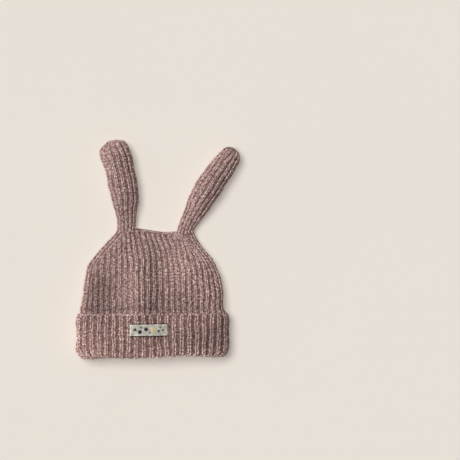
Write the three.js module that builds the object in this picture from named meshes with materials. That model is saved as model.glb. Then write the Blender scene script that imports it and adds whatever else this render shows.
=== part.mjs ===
// A baby's ribbed knit beanie with a turned-up cuff and two long stuffed ears, lying on its back.
// Millimetres. +X runs across the front, +Y from the hem to the ears, +Z up from the surface it lies on.
//
// The crown is one open sock of ribbed cloth, the cuff a folded band around its mouth, and each ear a
// stuffed ribbed tube on a top corner of the crown. Every wall is a skin over closed rings of points.

import * as THREE from "three";

const { lerp, clamp, smoothstep, degToRad } = THREE.MathUtils;

// Sizes of the whole hat as it lies flat
const cuffWidth = 180;
const bodyHeight = 150;
const lyingHeight = 34;
const sideFoldHeight = 14;

// Cloth
const crownCloth = 4;
const cuffCloth = 4.2;
const ribDepth = 1.3;
const ribsAcross = 26;
const clearance = 0.3;

// Cuff and label
const cuffHeight = 53;
const lipRadius = 1.5;
const labelWidth = 43;
const labelHeight = 14;
const labelThickness = 0.8;
const labelBelowEdge = 11.4;
const labelAcross = -3.5;
const labelSteps = 10;

// Top edge of the crown, with a thick neck below each ear and a flat seam between them
const neckWidth = 21;
const neckThickness = 15;
const seamThickness = 8;
const seamRun = 18;
const seamDepth = 21;

// Ears, as arcs whose angle from +Y is given at the neck and at the tip, in degrees. neckShare is the part
// of an ear's length over which it grows out of its neck.
const neckShare = 0.15;
const leftEar = { length: 101.5, width: 36.5, thickness: 29, angleAtNeck: 1, angleAtTip: -20, ribs: 13 };
const rightEar = { length: 111, width: 31.5, thickness: 27, angleAtNeck: 25, angleAtTip: 41, ribs: 13 };

// How the cloth settles: the hem runs up to the right, the seam runs down to the right and sags there
const hemRise = 3;
const seamFall = 5;
const seamSag = 2.6;
const sagAcross = 14;
const sagReach = 14;
const pressedFlat = 0.15;

// How full a section across the hat is, as powers of a rounded box: 2 is an ellipse, more is squarer.
// open is for the cuff and the wide crown, gathered for its top edge.
const fullness = { front: { open: 2.7, gathered: 2.2 }, back: { open: 5, gathered: 2.6 } };

// Where the crown narrows, the wales along its side folds go on into the ears, and the ones between them
// and the centre are knitted away. Both are shares: of half the front, and of a full wale's width.
const edgeWales = 0.154;
const narrowestWale = 0.07;

// Outline of the crown from the cuff's top edge to the seam. Inside the cuff it keeps its first row.
// up: share of the height above the cuff. left, right: shares of the half width inside the cuff.
// raised: share of the cuff's wall below the back. flat: 0 at the full height, 1 at the neck's thickness.
// dip: how far the cloth between the necks has sunk to the seam's thickness.
const crownRows = [
  { up: 0.0, left: 0.985, right: 1.0, raised: 1, flat: 0, dip: 0 },
  { up: 0.05, left: 0.982, right: 0.972, raised: 0.77, flat: 0, dip: 0 },
  { up: 0.15, left: 0.972, right: 0.952, raised: 0.3, flat: 0.02, dip: 0 },
  { up: 0.3, left: 0.955, right: 0.928, raised: 0, flat: 0.05, dip: 0 },
  { up: 0.45, left: 0.925, right: 0.89, raised: 0, flat: 0.1, dip: 0 },
  { up: 0.56, left: 0.892, right: 0.843, raised: 0, flat: 0.17, dip: 0.02 },
  { up: 0.66, left: 0.832, right: 0.787, raised: 0, flat: 0.27, dip: 0.06 },
  { up: 0.77, left: 0.71, right: 0.685, raised: 0, flat: 0.42, dip: 0.18 },
  { up: 0.865, left: 0.605, right: 0.615, raised: 0, flat: 0.6, dip: 0.4 },
  { up: 0.94, left: 0.525, right: 0.568, raised: 0, flat: 0.82, dip: 0.65 },
  { up: 0.98, left: 0.5, right: 0.565, raised: 0, flat: 0.94, dip: 0.85 },
  { up: 1.0, left: 0.495, right: 0.572, raised: 0, flat: 1, dip: 1 },
];

// Soft hollows of the front. across, wide: shares of cuffWidth. up, tall: shares of bodyHeight.
// deep: share of lyingHeight.
const hollows = [
  { across: -0.27, up: 0.5, wide: 0.14, tall: 0.24, deep: 0.09 },
  { across: 0.02, up: 0.78, wide: 0.08, tall: 0.22, deep: 0.09 },
  { across: 0.15, up: 0.42, wide: 0.16, tall: 0.12, deep: 0.07 },
  { across: 0.4, up: 0.16, wide: 0.05, tall: 0.2, deep: 0.03 },
];

// Ears from neck to tip, as shares of the ear's length, width and thickness. The neck has its own size.
const leftEarRows = [
  { along: 0.0, wide: 0.575, thick: 0.5 },
  { along: 0.1, wide: 0.575, thick: 0.56 },
  { along: 0.2, wide: 0.68, thick: 0.7 },
  { along: 0.33, wide: 0.855, thick: 0.86 },
  { along: 0.5, wide: 0.925, thick: 0.96 },
  { along: 0.7, wide: 0.945, thick: 1.0 },
  { along: 0.83, wide: 0.98, thick: 0.96 },
  { along: 0.9, wide: 0.985, thick: 0.87 },
  { along: 0.95, wide: 0.93, thick: 0.74 },
  { along: 0.985, wide: 0.76, thick: 0.54 },
  { along: 1.0, wide: 0.5, thick: 0.32 },
];
const rightEarRows = [
  { along: 0.0, wide: 0.66, thick: 0.54 },
  { along: 0.1, wide: 0.7, thick: 0.6 },
  { along: 0.2, wide: 0.8, thick: 0.72 },
  { along: 0.33, wide: 0.93, thick: 0.87 },
  { along: 0.48, wide: 0.995, thick: 0.98 },
  { along: 0.64, wide: 1.0, thick: 1.0 },
  { along: 0.77, wide: 0.97, thick: 0.94 },
  { along: 0.87, wide: 0.86, thick: 0.81 },
  { along: 0.94, wide: 0.68, thick: 0.62 },
  { along: 0.98, wide: 0.46, thick: 0.42 },
  { along: 1.0, wide: 0.22, thick: 0.2 },
];

// Sizes that follow
const cuffWall = cuffCloth + clearance;
const foldRadius = (crownCloth + clearance + cuffCloth) / 2;
const crownHalf = cuffWidth / 2 - cuffWall;
const crownHeight = lyingHeight - cuffWall;
const topRow = crownRows[crownRows.length - 1];
const topLeft = crownHalf * topRow.left;
const topRight = crownHalf * topRow.right;
const leftNeck = neckWidth / 2 - topLeft;
const rightNeck = topRight - neckWidth / 2;

// Columns of points across a rib: two on its crest and one in the valley beside it. Cloth that is turned
// up shows its other face, so the cuff's ribs stand where the crown's valleys are.
const ribColumns = 3;
const sectionSteps = 120;
const columnsAcross = ribColumns * ribsAcross;
const crownValley = 0;
const cuffValley = 1;

// A column of a table at a share, on a smooth curve through its rows.
function read(rows, key, column, share) {
  const last = rows.length - 1;
  let i = 0;
  while (i < last - 1 && share > rows[i + 1][key]) i++;
  const slope = (k) => {
    const before = rows[Math.max(k - 1, 0)];
    const after = rows[Math.min(k + 1, last)];
    return (after[column] - before[column]) / (after[key] - before[key]);
  };
  const span = rows[i + 1][key] - rows[i][key];
  const t = clamp((share - rows[i][key]) / span, 0, 1);
  const [a, b] = [rows[i][column], rows[i + 1][column]];
  const bend = t * (1 - t) * ((1 - t) * (slope(i) * span - (b - a)) - t * (slope(i + 1) * span - (b - a)));
  return lerp(a, b, t) + bend;
}

// How far x lies between the two necks: 1 at the seam, 0 at a neck.
function betweenNecks(x) {
  const middle = (leftNeck + rightNeck) / 2;
  const half = (rightNeck - leftNeck) / 2;
  return 1 - smoothstep(Math.abs(x - middle), half - seamRun, half);
}

// Half of a section across the hat, from its left side fold to its right one, as points with the length
// walked so far. side is 1 for the front and -1 for the back, inset is how far in from the crown's skin.
function halfSection(y, side, inset) {
  const up = clamp((y - cuffHeight) / (bodyHeight - cuffHeight), 0, 1);
  const left = crownHalf * read(crownRows, "up", "left", up) - inset;
  const right = crownHalf * read(crownRows, "up", "right", up) - inset;
  const low = cuffWall * read(crownRows, "up", "raised", up);
  const flat = read(crownRows, "up", "flat", up);
  const high = lerp(crownHeight, neckThickness, flat);
  const fold = lerp(low + (sideFoldHeight / crownHeight) * (high - low), neckThickness / 2, flat);
  const reach = (side > 0 ? high - fold : fold - low) - inset;
  const { open, gathered } = side > 0 ? fullness.front : fullness.back;
  const power = lerp(open, gathered, flat);
  const sunk = read(crownRows, "up", "dip", up) * (1 - seamThickness / neckThickness);
  const points = [];
  let length = 0;
  for (let k = 0; k <= sectionSteps; k++) {
    const c = -Math.cos((Math.PI * k) / sectionSteps);
    const s = Math.sin((Math.PI * k) / sectionSteps);
    const x = Math.sign(c) * Math.abs(c) ** (2 / power) * (c < 0 ? left : right);
    const rise = (fold + side * reach * Math.max(s, 0) ** (2 / power)) * (1 - sunk * betweenNecks(x));
    if (k > 0) length += Math.hypot(x - points[k - 1].x, rise - points[k - 1].z);
    points.push({ x, z: rise, length });
  }
  return points;
}

// The point of a half section at a length along it, with the direction out of the cloth.
function pointAt(points, length, side) {
  let k = 1;
  while (k < points.length - 1 && points[k].length < length) k++;
  const [a, b] = [points[k - 1], points[k]];
  const t = (length - a.length) / (b.length - a.length);
  const run = Math.hypot(b.x - a.x, b.z - a.z);
  const out = { x: (-side * (b.z - a.z)) / run, z: (side * (b.x - a.x)) / run };
  return { x: lerp(a.x, b.x, t), z: lerp(a.z, b.z, t), out };
}

// Where a wale lies across half the front. across counts from the centre, 0, to the side fold, 1, and kept
// is the share of the full half width that is left at this height. The centre's wales keep their width up
// to a place where the edge's begin, and the ones in between are squeezed to the narrowest there.
function waleShare(across, kept) {
  const edge = 1 - edgeWales;
  const centre = clamp((kept - edgeWales - narrowestWale * edge) / (1 - narrowestWale), 0, edge);
  const inner = Math.min(across, centre);
  const squeezed = clamp(across - centre, 0, edge - centre) * narrowestWale;
  const outer = Math.max(across - edge, 0);
  const whole = centre + (edge - centre) * narrowestWale + edgeWales;
  return { share: (inner + squeezed + outer) / whole, width: across > centre && across < edge ? 0 : 1 };
}

// A ring of the crown's skin at a height above the hem, or of a skin parallel to it. valley is the one of
// a rib's columns that lies ribDepth deep, or null for a plain skin.
function ring(y, inset, valley) {
  const points = [];
  for (const side of [1, -1]) {
    const section = halfSection(y, side, inset);
    const widest = halfSection(0, side, inset);
    const whole = section[section.length - 1].length;
    const middle = section[(section.length - 1) / 2].length;
    const fullHalf = widest[(widest.length - 1) / 2].length;
    for (let j = 0; j < columnsAcross; j++) {
      const q = side * ((2 * j) / columnsAcross - 1);
      const half = q < 0 ? middle : whole - middle;
      const wale = waleShare(Math.abs(q), half / fullHalf);
      const at = pointAt(section, clamp(middle + Math.sign(q) * half * wale.share, 0, whole), side);
      const depth = j % ribColumns === valley ? ribDepth * wale.width : 0;
      points.push(new THREE.Vector3(at.x - at.out.x * depth, y, at.z - at.out.z * depth));
    }
  }
  return points;
}

// A closed mesh over rings with the same number of points. Open rows of rings get an end cap each,
// laced across from the front half of the ring to its back half.
function skin(rings, closedBand) {
  const count = rings[0].length;
  const positions = rings.flatMap((points) => points.flatMap((p) => [p.x, p.y, p.z]));
  const faces = [];
  const spans = closedBand ? rings.length : rings.length - 1;
  for (let i = 0; i < spans; i++) {
    const [a, b] = [i * count, ((i + 1) % rings.length) * count];
    for (let j = 0; j < count; j++) {
      const k = (j + 1) % count;
      faces.push([a + j, b + j, b + k], [a + j, b + k, a + k]);
    }
  }
  if (!closedBand) {
    const last = (rings.length - 1) * count;
    for (let j = 0; j < Math.floor(count / 2); j++) {
      const [p, q, r, s] = [j, j + 1, count - j - 1, (count - j) % count];
      if (j > 0) faces.push([p, q, s], [last + p, last + s, last + q]);
      if (j < count / 2 - 1) faces.push([q, r, s], [last + q, last + s, last + r]);
    }
  }
  const geometry = new THREE.BufferGeometry();
  geometry.setAttribute("position", new THREE.Float32BufferAttribute(positions, 3));
  geometry.setIndex(faces.flat());
  return outward(geometry);
}

// Turns every face of a closed geometry round if they point inwards.
function outward(geometry) {
  const at = geometry.getAttribute("position");
  const index = geometry.getIndex();
  const corner = (i) => new THREE.Vector3().fromBufferAttribute(at, index.getX(i));
  let volume = 0;
  for (let i = 0; i < index.count; i += 3) volume += corner(i).dot(corner(i + 1).cross(corner(i + 2)));
  if (volume < 0) {
    for (let i = 0; i < index.count; i += 3) {
      const first = index.getX(i);
      index.setX(i, index.getX(i + 1));
      index.setX(i + 1, first);
    }
  }
  return geometry;
}

// The whole hat settles as one: hem and seam slope, the front sinks into its hollows, the back is
// pressed flat on the surface.
function settle(geometry) {
  const at = geometry.getAttribute("position");
  for (let i = 0; i < at.count; i++) {
    const [x, y, z] = [at.getX(i), at.getY(i), at.getZ(i)];
    const up = clamp(y / bodyHeight, 0, 1);
    const hem = hemRise * (x / cuffWidth + 0.5) * (1 - up);
    const sag = seamSag * up ** 8 * Math.exp(-(((x - sagAcross) / sagReach) ** 2));
    const seam = -seamFall * (x / cuffWidth) * up ** 2 - sag;
    let sink = 0;
    for (const h of hollows) {
      const dx = (x / cuffWidth - h.across) / h.wide;
      const dy = (y / bodyHeight - h.up) / h.tall;
      sink += h.deep * lyingHeight * Math.exp(-dx * dx - dy * dy);
    }
    const settled = z - (sink * clamp(z, 0, lyingHeight)) / lyingHeight - pressedFlat;
    at.setXYZ(i, x, y + hem + seam, Math.max(settled, 0));
  }
  geometry.computeVertexNormals();
  return geometry;
}

// Crown

function crownGeometry() {
  const mouth = 2 * foldRadius + clearance;
  const cavityTop = bodyHeight - seamDepth;
  // Rings lie closer together where the outline turns in, as shares of the way up from the cuff's top edge.
  const outerShares = [0, 0.12, 0.26, 0.4, 0.53, 0.65, 0.75, 0.83, 0.9, 0.95, 0.985, 1];
  const innerShares = [0, 0.35, 0.6, 0.8, 0.93, 1];
  const outer = [mouth, ...outerShares.map((share) => lerp(cuffHeight, bodyHeight, share))]
    .map((y) => ring(y, 0, crownValley));
  const inner = [mouth, ...innerShares.map((share) => lerp(cuffHeight, cavityTop, share))]
    .map((y) => ring(y, crownCloth, null));
  return settle(skin([...inner.reverse(), ...outer], false));
}

// Cuff: a wall around the crown whose hem folds under the crown's edge

function cuffGeometry() {
  const foot = 2 * foldRadius;
  // out: how far out from the crown's skin. y: height above the hem. ribbed: whether ribs show there.
  const inside = [
    { out: clearance, y: cuffHeight - lipRadius, ribbed: false },
    { out: clearance, y: foot, ribbed: false },
    { out: -crownCloth, y: foot, ribbed: false },
    { out: -crownCloth, y: foldRadius, ribbed: false },
  ];
  const fold = [0.25, 0.5, 0.75, 1].map((share, i) => ({
    out: cuffWall - foldRadius - foldRadius * Math.cos(Math.PI * share),
    y: foldRadius * (1 - Math.sin(Math.PI * share)),
    ribbed: i > 0,
  }));
  const outside = [
    { out: cuffWall, y: cuffHeight / 2, ribbed: true },
    { out: cuffWall, y: cuffHeight - lipRadius, ribbed: true },
    { out: clearance + cuffCloth / 2, y: cuffHeight, ribbed: false },
  ];
  const rings = [...inside, ...fold, ...outside].map(({ out, y, ribbed }) =>
    ring(y, -out, ribbed ? cuffValley : null));
  return settle(skin(rings, true));
}

// Ears

function earGeometry(ear, rows, neck) {
  const earColumns = ribColumns * ear.ribs;
  const alongs = [0, 0.06, 0.13, 0.22, 0.33, 0.45, 0.58, 0.7, 0.8, 0.88, 0.94, 0.98, 1];
  const spine = { x: neck, y: bodyHeight + clearance, z: 0, along: 0 };
  const rings = alongs.map((along) => {
    const lean = degToRad(lerp(ear.angleAtNeck, ear.angleAtTip, (along + spine.along) / 2));
    spine.x += (along - spine.along) * ear.length * Math.sin(lean);
    spine.y += (along - spine.along) * ear.length * Math.cos(lean);
    spine.along = along;
    const neckness = 1 - smoothstep(along, 0, neckShare);
    const tilt = degToRad(lerp(ear.angleAtNeck, ear.angleAtTip, along)) * (1 - neckness);
    const halfWidth = lerp(ear.width * read(rows, "along", "wide", along), neckWidth, neckness) / 2;
    const halfThick = lerp(ear.thickness * read(rows, "along", "thick", along), neckThickness, neckness) / 2;
    spine.z = Math.max(spine.z, halfThick);
    return Array.from({ length: earColumns }, (_, j) => {
      const angle = Math.PI - (2 * Math.PI * j) / earColumns;
      const depth = j % ribColumns === 0 ? ribDepth : 0;
      const side = (halfWidth - depth) * Math.cos(angle);
      const rise = spine.z + (halfThick - depth) * Math.sin(angle);
      return new THREE.Vector3(spine.x + side * Math.cos(tilt), spine.y - side * Math.sin(tilt), rise);
    });
  });
  return settle(skin(rings, false));
}

// Label: a small folded strip of tape lying on the ribs of the cuff

function labelGeometry() {
  const front = halfSection(0, 1, -cuffWall);
  const high = cuffHeight - labelBelowEdge;
  const low = high - labelHeight;
  const rings = Array.from({ length: labelSteps + 1 }, (_, i) => {
    const x = labelAcross + (i / labelSteps - 0.5) * labelWidth;
    const k = front.findIndex((p) => p.x > x);
    const [a, b] = [front[k - 1], front[k]];
    const under = lerp(a.z, b.z, (x - a.x) / (b.x - a.x)) + clearance;
    const corner = (y, z) => new THREE.Vector3(x, y, z);
    return [corner(low, under), corner(high, under), corner(high, under + labelThickness),
      corner(low, under + labelThickness)];
  });
  return settle(skin(rings, false));
}

const wool = new THREE.MeshStandardMaterial({ color: 0xa98a82, roughness: 0.95, metalness: 0 });
const tape = new THREE.MeshStandardMaterial({ color: 0xcfcabb, roughness: 0.8, metalness: 0 });

const pieces = {
  crown: new THREE.Mesh(crownGeometry(), wool),
  cuff: new THREE.Mesh(cuffGeometry(), wool.clone()),
  ear_left: new THREE.Mesh(earGeometry(leftEar, leftEarRows, leftNeck), wool.clone()),
  ear_right: new THREE.Mesh(earGeometry(rightEar, rightEarRows, rightNeck), wool.clone()),
  label: new THREE.Mesh(labelGeometry(), tape),
};

// The origin is on the surface below the middle of the hat's box.
const hat = new THREE.Group();
for (const [name, mesh] of Object.entries(pieces)) {
  mesh.name = name;
  hat.add(mesh);
}
const box = new THREE.Box3().setFromObject(hat);
hat.position.set(-(box.min.x + box.max.x) / 2, -(box.min.y + box.max.y) / 2, -box.min.z);

export default hat;
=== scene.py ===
"""A baby's knit hat with ears, in chunky 1x1 rib, lying flat on a pale floor.

Every knitted face is a grid over wales, the columns of stitches, and courses, their rows. A ribbed ground
fills the grid, and each knit stitch on it is a pair of yarn legs that stand in a V. Metres throughout.
"""

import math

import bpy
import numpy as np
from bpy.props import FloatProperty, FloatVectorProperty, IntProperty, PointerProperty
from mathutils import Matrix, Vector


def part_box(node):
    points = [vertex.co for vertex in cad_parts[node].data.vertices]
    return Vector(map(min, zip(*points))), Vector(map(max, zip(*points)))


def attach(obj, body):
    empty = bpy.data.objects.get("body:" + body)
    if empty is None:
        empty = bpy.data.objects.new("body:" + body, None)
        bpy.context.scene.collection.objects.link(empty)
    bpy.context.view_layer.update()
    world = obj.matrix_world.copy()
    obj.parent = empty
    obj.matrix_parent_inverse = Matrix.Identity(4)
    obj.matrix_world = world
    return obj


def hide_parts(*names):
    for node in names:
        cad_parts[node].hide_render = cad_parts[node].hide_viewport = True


bl_info = {
    "name": "Ribbed Hat With Ears",
    "version": (1, 0, 0),
    "blender": (4, 5, 0),
    "location": "View3D > Sidebar > Knit Hat",
    "description": "Knits a baby's ribbed hat with a turned-up cuff, two padded ears and a sewn-on label",
    "category": "Add Mesh",
}

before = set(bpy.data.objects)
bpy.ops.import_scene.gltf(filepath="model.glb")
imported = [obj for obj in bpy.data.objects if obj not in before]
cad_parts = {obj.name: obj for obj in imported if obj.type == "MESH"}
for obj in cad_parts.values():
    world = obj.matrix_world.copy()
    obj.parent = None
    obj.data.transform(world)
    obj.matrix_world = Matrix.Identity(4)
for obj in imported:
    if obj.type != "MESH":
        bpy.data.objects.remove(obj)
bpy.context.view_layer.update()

# Form of the hat as it lies flat, close to the sizes of its solids
CUFF_WIDTH = 0.180
BODY_HEIGHT = 0.150
LYING_HEIGHT = 0.034
SIDE_FOLD_HEIGHT = 0.014
CUFF_HEIGHT = 0.053
LIP_RADIUS = 0.0015
CROWN_CLOTH = 0.004
CUFF_CLOTH = 0.0042
CLEARANCE = 0.0003
RIBS_ACROSS = 26
CUFF_RIBS_ACROSS = 22
EAR_RIBS = 13
NECK_WIDTH = 0.021
NECK_THICKNESS = 0.015
NECK_SHARE = 0.15
SEAM_THICKNESS = 0.008
SEAM_RUN = 0.018
SEAM_DEPTH = 0.021
HEM_RISE = 0.003
SEAM_FALL = 0.005
SEAM_SAG = 0.0036
SAG_ACROSS = 0.014
SAG_REACH = 0.022
SAG_POWER = 8
PRESSED_FLAT = 0.00015
EDGE_WALES = 0.154
NARROWEST_WALE = 0.02
LABEL_ACROSS = -0.0035
LABEL_BELOW_EDGE = 0.0114
LABEL_WIDTH = 0.043
LABEL_HEIGHT = 0.014
TAPE_HEIGHT = 0.0131
TAPE_DROP = 0.0009
LEFT_EAR = {"length": 0.1005, "width": 0.0375, "thickness": 0.029, "at_neck": 2.1, "at_tip": -21.2}
RIGHT_EAR = {"length": 0.111, "width": 0.0315, "thickness": 0.027, "at_neck": 25.7, "at_tip": 38}

# How full a section across the hat is, as powers of a rounded box
FULLNESS = {"front": {"open": 2.7, "gathered": 2.2}, "back": {"open": 5, "gathered": 2.6}}

# Outline of the crown above the cuff. up is a share of the way to the top seam, left and right are shares
# of the half width, raised is a share of the cuff's wall, flat and dip grow to 1 at the seam.
CROWN_ROWS = [
    {"up": 0.0, "left": 0.985, "right": 0.988, "raised": 1, "flat": 0, "dip": 0},
    {"up": 0.05, "left": 0.979, "right": 0.968, "raised": 0.77, "flat": 0, "dip": 0},
    {"up": 0.15, "left": 0.96, "right": 0.958, "raised": 0.3, "flat": 0.02, "dip": 0},
    {"up": 0.3, "left": 0.942, "right": 0.952, "raised": 0, "flat": 0.05, "dip": 0},
    {"up": 0.45, "left": 0.913, "right": 0.918, "raised": 0, "flat": 0.1, "dip": 0},
    {"up": 0.56, "left": 0.88, "right": 0.868, "raised": 0, "flat": 0.17, "dip": 0.02},
    {"up": 0.66, "left": 0.806, "right": 0.804, "raised": 0, "flat": 0.27, "dip": 0.06},
    {"up": 0.77, "left": 0.7, "right": 0.704, "raised": 0, "flat": 0.42, "dip": 0.18},
    {"up": 0.865, "left": 0.605, "right": 0.631, "raised": 0, "flat": 0.6, "dip": 0.4},
    {"up": 0.94, "left": 0.52, "right": 0.578, "raised": 0, "flat": 0.82, "dip": 0.65},
    {"up": 0.98, "left": 0.489, "right": 0.56, "raised": 0, "flat": 0.94, "dip": 0.85},
    {"up": 1.0, "left": 0.483, "right": 0.557, "raised": 0, "flat": 1, "dip": 1},
]

# Soft hollows of the front and, where deep is below 0, swellings: middles and reaches as shares of the
# cuff's width and the body's height, depths as shares of the lying height
HOLLOWS = [
    {"x": -0.28, "y": 0.5, "wide": 0.12, "tall": 0.24, "deep": 0.18},
    {"x": -0.09, "y": 0.52, "wide": 0.07, "tall": 0.3, "deep": -0.07},
    {"x": 0.06, "y": 0.72, "wide": 0.09, "tall": 0.25, "deep": 0.15},
    {"x": 0.17, "y": 0.4, "wide": 0.17, "tall": 0.12, "deep": 0.14},
    {"x": 0.3, "y": 0.68, "wide": 0.08, "tall": 0.2, "deep": -0.05},
    {"x": 0.4, "y": 0.16, "wide": 0.05, "tall": 0.2, "deep": 0.03},
]

# Ears from neck to tip, as shares of their length, width and thickness
LEFT_EAR_ROWS = [
    {"along": 0.0, "wide": 0.6, "thick": 0.5},
    {"along": 0.1, "wide": 0.6, "thick": 0.56},
    {"along": 0.2, "wide": 0.7, "thick": 0.7},
    {"along": 0.33, "wide": 0.865, "thick": 0.86},
    {"along": 0.5, "wide": 0.925, "thick": 0.96},
    {"along": 0.7, "wide": 0.945, "thick": 1.0},
    {"along": 0.83, "wide": 0.98, "thick": 0.96},
    {"along": 0.9, "wide": 0.985, "thick": 0.87},
    {"along": 0.95, "wide": 0.93, "thick": 0.74},
    {"along": 0.985, "wide": 0.76, "thick": 0.54},
    {"along": 1.0, "wide": 0.5, "thick": 0.32},
]
RIGHT_EAR_ROWS = [
    {"along": 0.0, "wide": 0.66, "thick": 0.54},
    {"along": 0.1, "wide": 0.7, "thick": 0.6},
    {"along": 0.2, "wide": 0.8, "thick": 0.72},
    {"along": 0.33, "wide": 0.93, "thick": 0.87},
    {"along": 0.48, "wide": 0.995, "thick": 0.98},
    {"along": 0.64, "wide": 0.975, "thick": 1.0},
    {"along": 0.77, "wide": 0.91, "thick": 0.94},
    {"along": 0.87, "wide": 0.86, "thick": 0.83},
    {"along": 0.94, "wide": 0.78, "thick": 0.68},
    {"along": 0.98, "wide": 0.58, "thick": 0.48},
    {"along": 1.0, "wide": 0.36, "thick": 0.26},
]

# Pulls that bend the front's wales sideways, bell-shaped, in metres
PULLS = [
    {"x": -0.012, "y": 0.152, "wide": 0.024, "tall": 0.024, "by": -0.0075},
    {"x": 0.012, "y": 0.150, "wide": 0.016, "tall": 0.02, "by": -0.003},
    {"x": -0.093, "y": 0.0, "wide": 0.022, "tall": 0.009, "by": 0.006},
]

# Share by which the wales of each half narrow all alike towards the top
DRAWN_IN_LEFT = 0.12
DRAWN_IN_RIGHT = 0.62

# Corners drawn in at the hem and at the ends of the cuff's top edge: their height, the reach up and down
# and the way in, in metres, and the share of the half width from which on they are drawn in
HEM_CORNERS = {"y": 0.0, "tall": 0.006, "by": 0.004, "start": 0.6}
EDGE_CORNERS = {"y": CUFF_HEIGHT, "tall": 0.004, "by": 0.0026, "start": 0.8}

# Where the hem is drawn up a little, bell-shaped, in metres
HEM_LIFTS = [
    {"x": -0.048, "y": 0.0, "wide": 0.017, "tall": 0.014, "by": 0.0011},
    {"x": 0.037, "y": 0.0, "wide": 0.024, "tall": 0.014, "by": 0.0019},
]

# Slow unevenness of the lying cloth: waves per metre across and up, a phase, and shares of its size
SWAYS = [
    {"across": 21, "up": 9, "phase": 0.6, "lift": 0.5, "shift": 0.3},
    {"across": -13, "up": 24, "phase": 2.1, "lift": 0.4, "shift": 0.5},
    {"across": 33, "up": -17, "phase": 4.0, "lift": 0.35, "shift": 0.25},
    {"across": 6, "up": 41, "phase": 5.2, "lift": 0.2, "shift": 0.4},
]
SWAY_LIFT = 0.0007
SWAY_SHIFT = 0.0006

# Painted shade and painted light: soft patches where the wool is painted darker or, below 0, lighter, to
# stand for the shade in hollows, beside the cuff's edge and on the right, and for the light on the left,
# along the cuff's edge and on the hem: a middle and a reach in metres, and a share
PAINTED_SHADE_AND_LIGHT = [
    {"x": -0.06, "y": 0.072, "wide": 0.024, "tall": 0.032, "dark": 0.3},
    {"x": -0.0815, "y": 0.068, "wide": 0.0045, "tall": 0.02, "dark": -0.34},
    {"x": -0.078, "y": 0.095, "wide": 0.0045, "tall": 0.014, "dark": -0.3},
    {"x": -0.018, "y": 0.085, "wide": 0.011, "tall": 0.045, "dark": -0.12},
    {"x": 0.003, "y": 0.078, "wide": 0.013, "tall": 0.04, "dark": 0.2},
    {"x": 0.038, "y": 0.112, "wide": 0.022, "tall": 0.022, "dark": -0.13},
    {"x": 0.036, "y": 0.064, "wide": 0.036, "tall": 0.013, "dark": 0.2},
    {"x": 0.066, "y": 0.075, "wide": 0.01, "tall": 0.025, "dark": -0.06},
    {"x": 0.055, "y": 0.028, "wide": 0.062, "tall": 0.017, "dark": 0.2},
    {"x": 0.0, "y": 0.016, "wide": 0.035, "tall": 0.014, "dark": 0.05},
    {"x": -0.088, "y": 0.028, "wide": 0.006, "tall": 0.03, "dark": -0.14},
    {"x": 0.089, "y": 0.035, "wide": 0.014, "tall": 0.045, "dark": 0.23},
    {"x": -0.07, "y": 0.02, "wide": 0.04, "tall": 0.03, "dark": -0.09},
    {"x": 0.0, "y": 0.0585, "wide": 0.2, "tall": 0.0045, "dark": 0.13},
    {"x": -0.04, "y": 0.058, "wide": 0.05, "tall": 0.0035, "dark": 0.1},
    {"x": 0.0, "y": 0.0515, "wide": 0.2, "tall": 0.0022, "dark": -0.12},
    {"x": 0.0, "y": 0.003, "wide": 0.2, "tall": 0.006, "dark": -0.19},
    {"x": 0.0, "y": 0.14, "wide": 0.06, "tall": 0.016, "dark": 0.13},
    {"x": -0.03, "y": 0.105, "wide": 0.09, "tall": 0.042, "dark": 0.068},
    {"x": -0.04, "y": 0.2, "wide": 0.04, "tall": 0.05, "dark": 0.095},
    {"x": 0.08, "y": 0.2, "wide": 0.04, "tall": 0.05, "dark": 0.115},
]

# How dark the painted shade in the grooves between the ribs is on each piece
CROWN_GROOVES = 0.7
CUFF_GROOVES = 1.0
EAR_GROOVES = 0.5

# Red, green and blue of a valley against its shade: light that goes back and forth in it turns redder
VALLEY_TINT = (1.05, 0.84, 0.78)

# Sizes that follow
CUFF_WALL = CUFF_CLOTH + CLEARANCE
FOLD_RADIUS = (CROWN_CLOTH + CLEARANCE + CUFF_CLOTH) / 2
CROWN_HALF = CUFF_WIDTH / 2 - CUFF_WALL
CROWN_HEIGHT = LYING_HEIGHT - CUFF_WALL
TOP_LEFT = CROWN_HALF * CROWN_ROWS[-1]["left"]
TOP_RIGHT = CROWN_HALF * CROWN_ROWS[-1]["right"]
LEFT_NECK = NECK_WIDTH / 2 - TOP_LEFT
RIGHT_NECK = TOP_RIGHT - NECK_WIDTH / 2
RIBS_ROUND = 2 * RIBS_ACROSS
EARS = {
    "ear_left": (LEFT_EAR, LEFT_EAR_ROWS, LEFT_NECK),
    "ear_right": (RIGHT_EAR, RIGHT_EAR_ROWS, RIGHT_NECK),
}

# How far an ear's cloth reaches down into the crown's top, and how high its tip is domed
EAR_ROOT = 0.006
TIP_CAP = 0.0025

# Fineness of the grids: steps of a section, of an arc and of an ear, and points to a wale or a course
SECTION_STEPS = 240
FOLD_STEPS = 25
LIP_STEPS = 7
ROOT_STEPS = 8
SPINE_STEPS = 300
CAP_STEPS = 40
RIM_STEPS = 360
GROUND_PER_WALE = 6
EAR_GROUND_PER_WALE = 8
GROUND_PER_COURSE = 4
FACE_PER_WALE = 4

# Sides and spans of a stitch's leg, spans of a leg at an edge, and sides and spans of a loose fibre
LEG_SIDES = 6
LEG_SPANS = 6
EDGE_SPANS = 5
FIBRE_SIDES = 3
FIBRE_SPANS = 3

# Least radius of an ear's ring, and size of the small rings that close its ends as a share of the last ones
LEAST_RADIUS = 0.0001
END_RING = 0.05

# Width of a wale whose stitches are full size, and the least shares of it that still get a stitch
FULL_WALE = 0.0064
LEAST_WALE = 0.45
LEAST_EAR_WALE = 0.25

# A rib's crest, as a share of a wale: the turned-up cuff shows the cloth's other face
CROWN_CREST = 0.5
CUFF_CREST = 0.0

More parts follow.
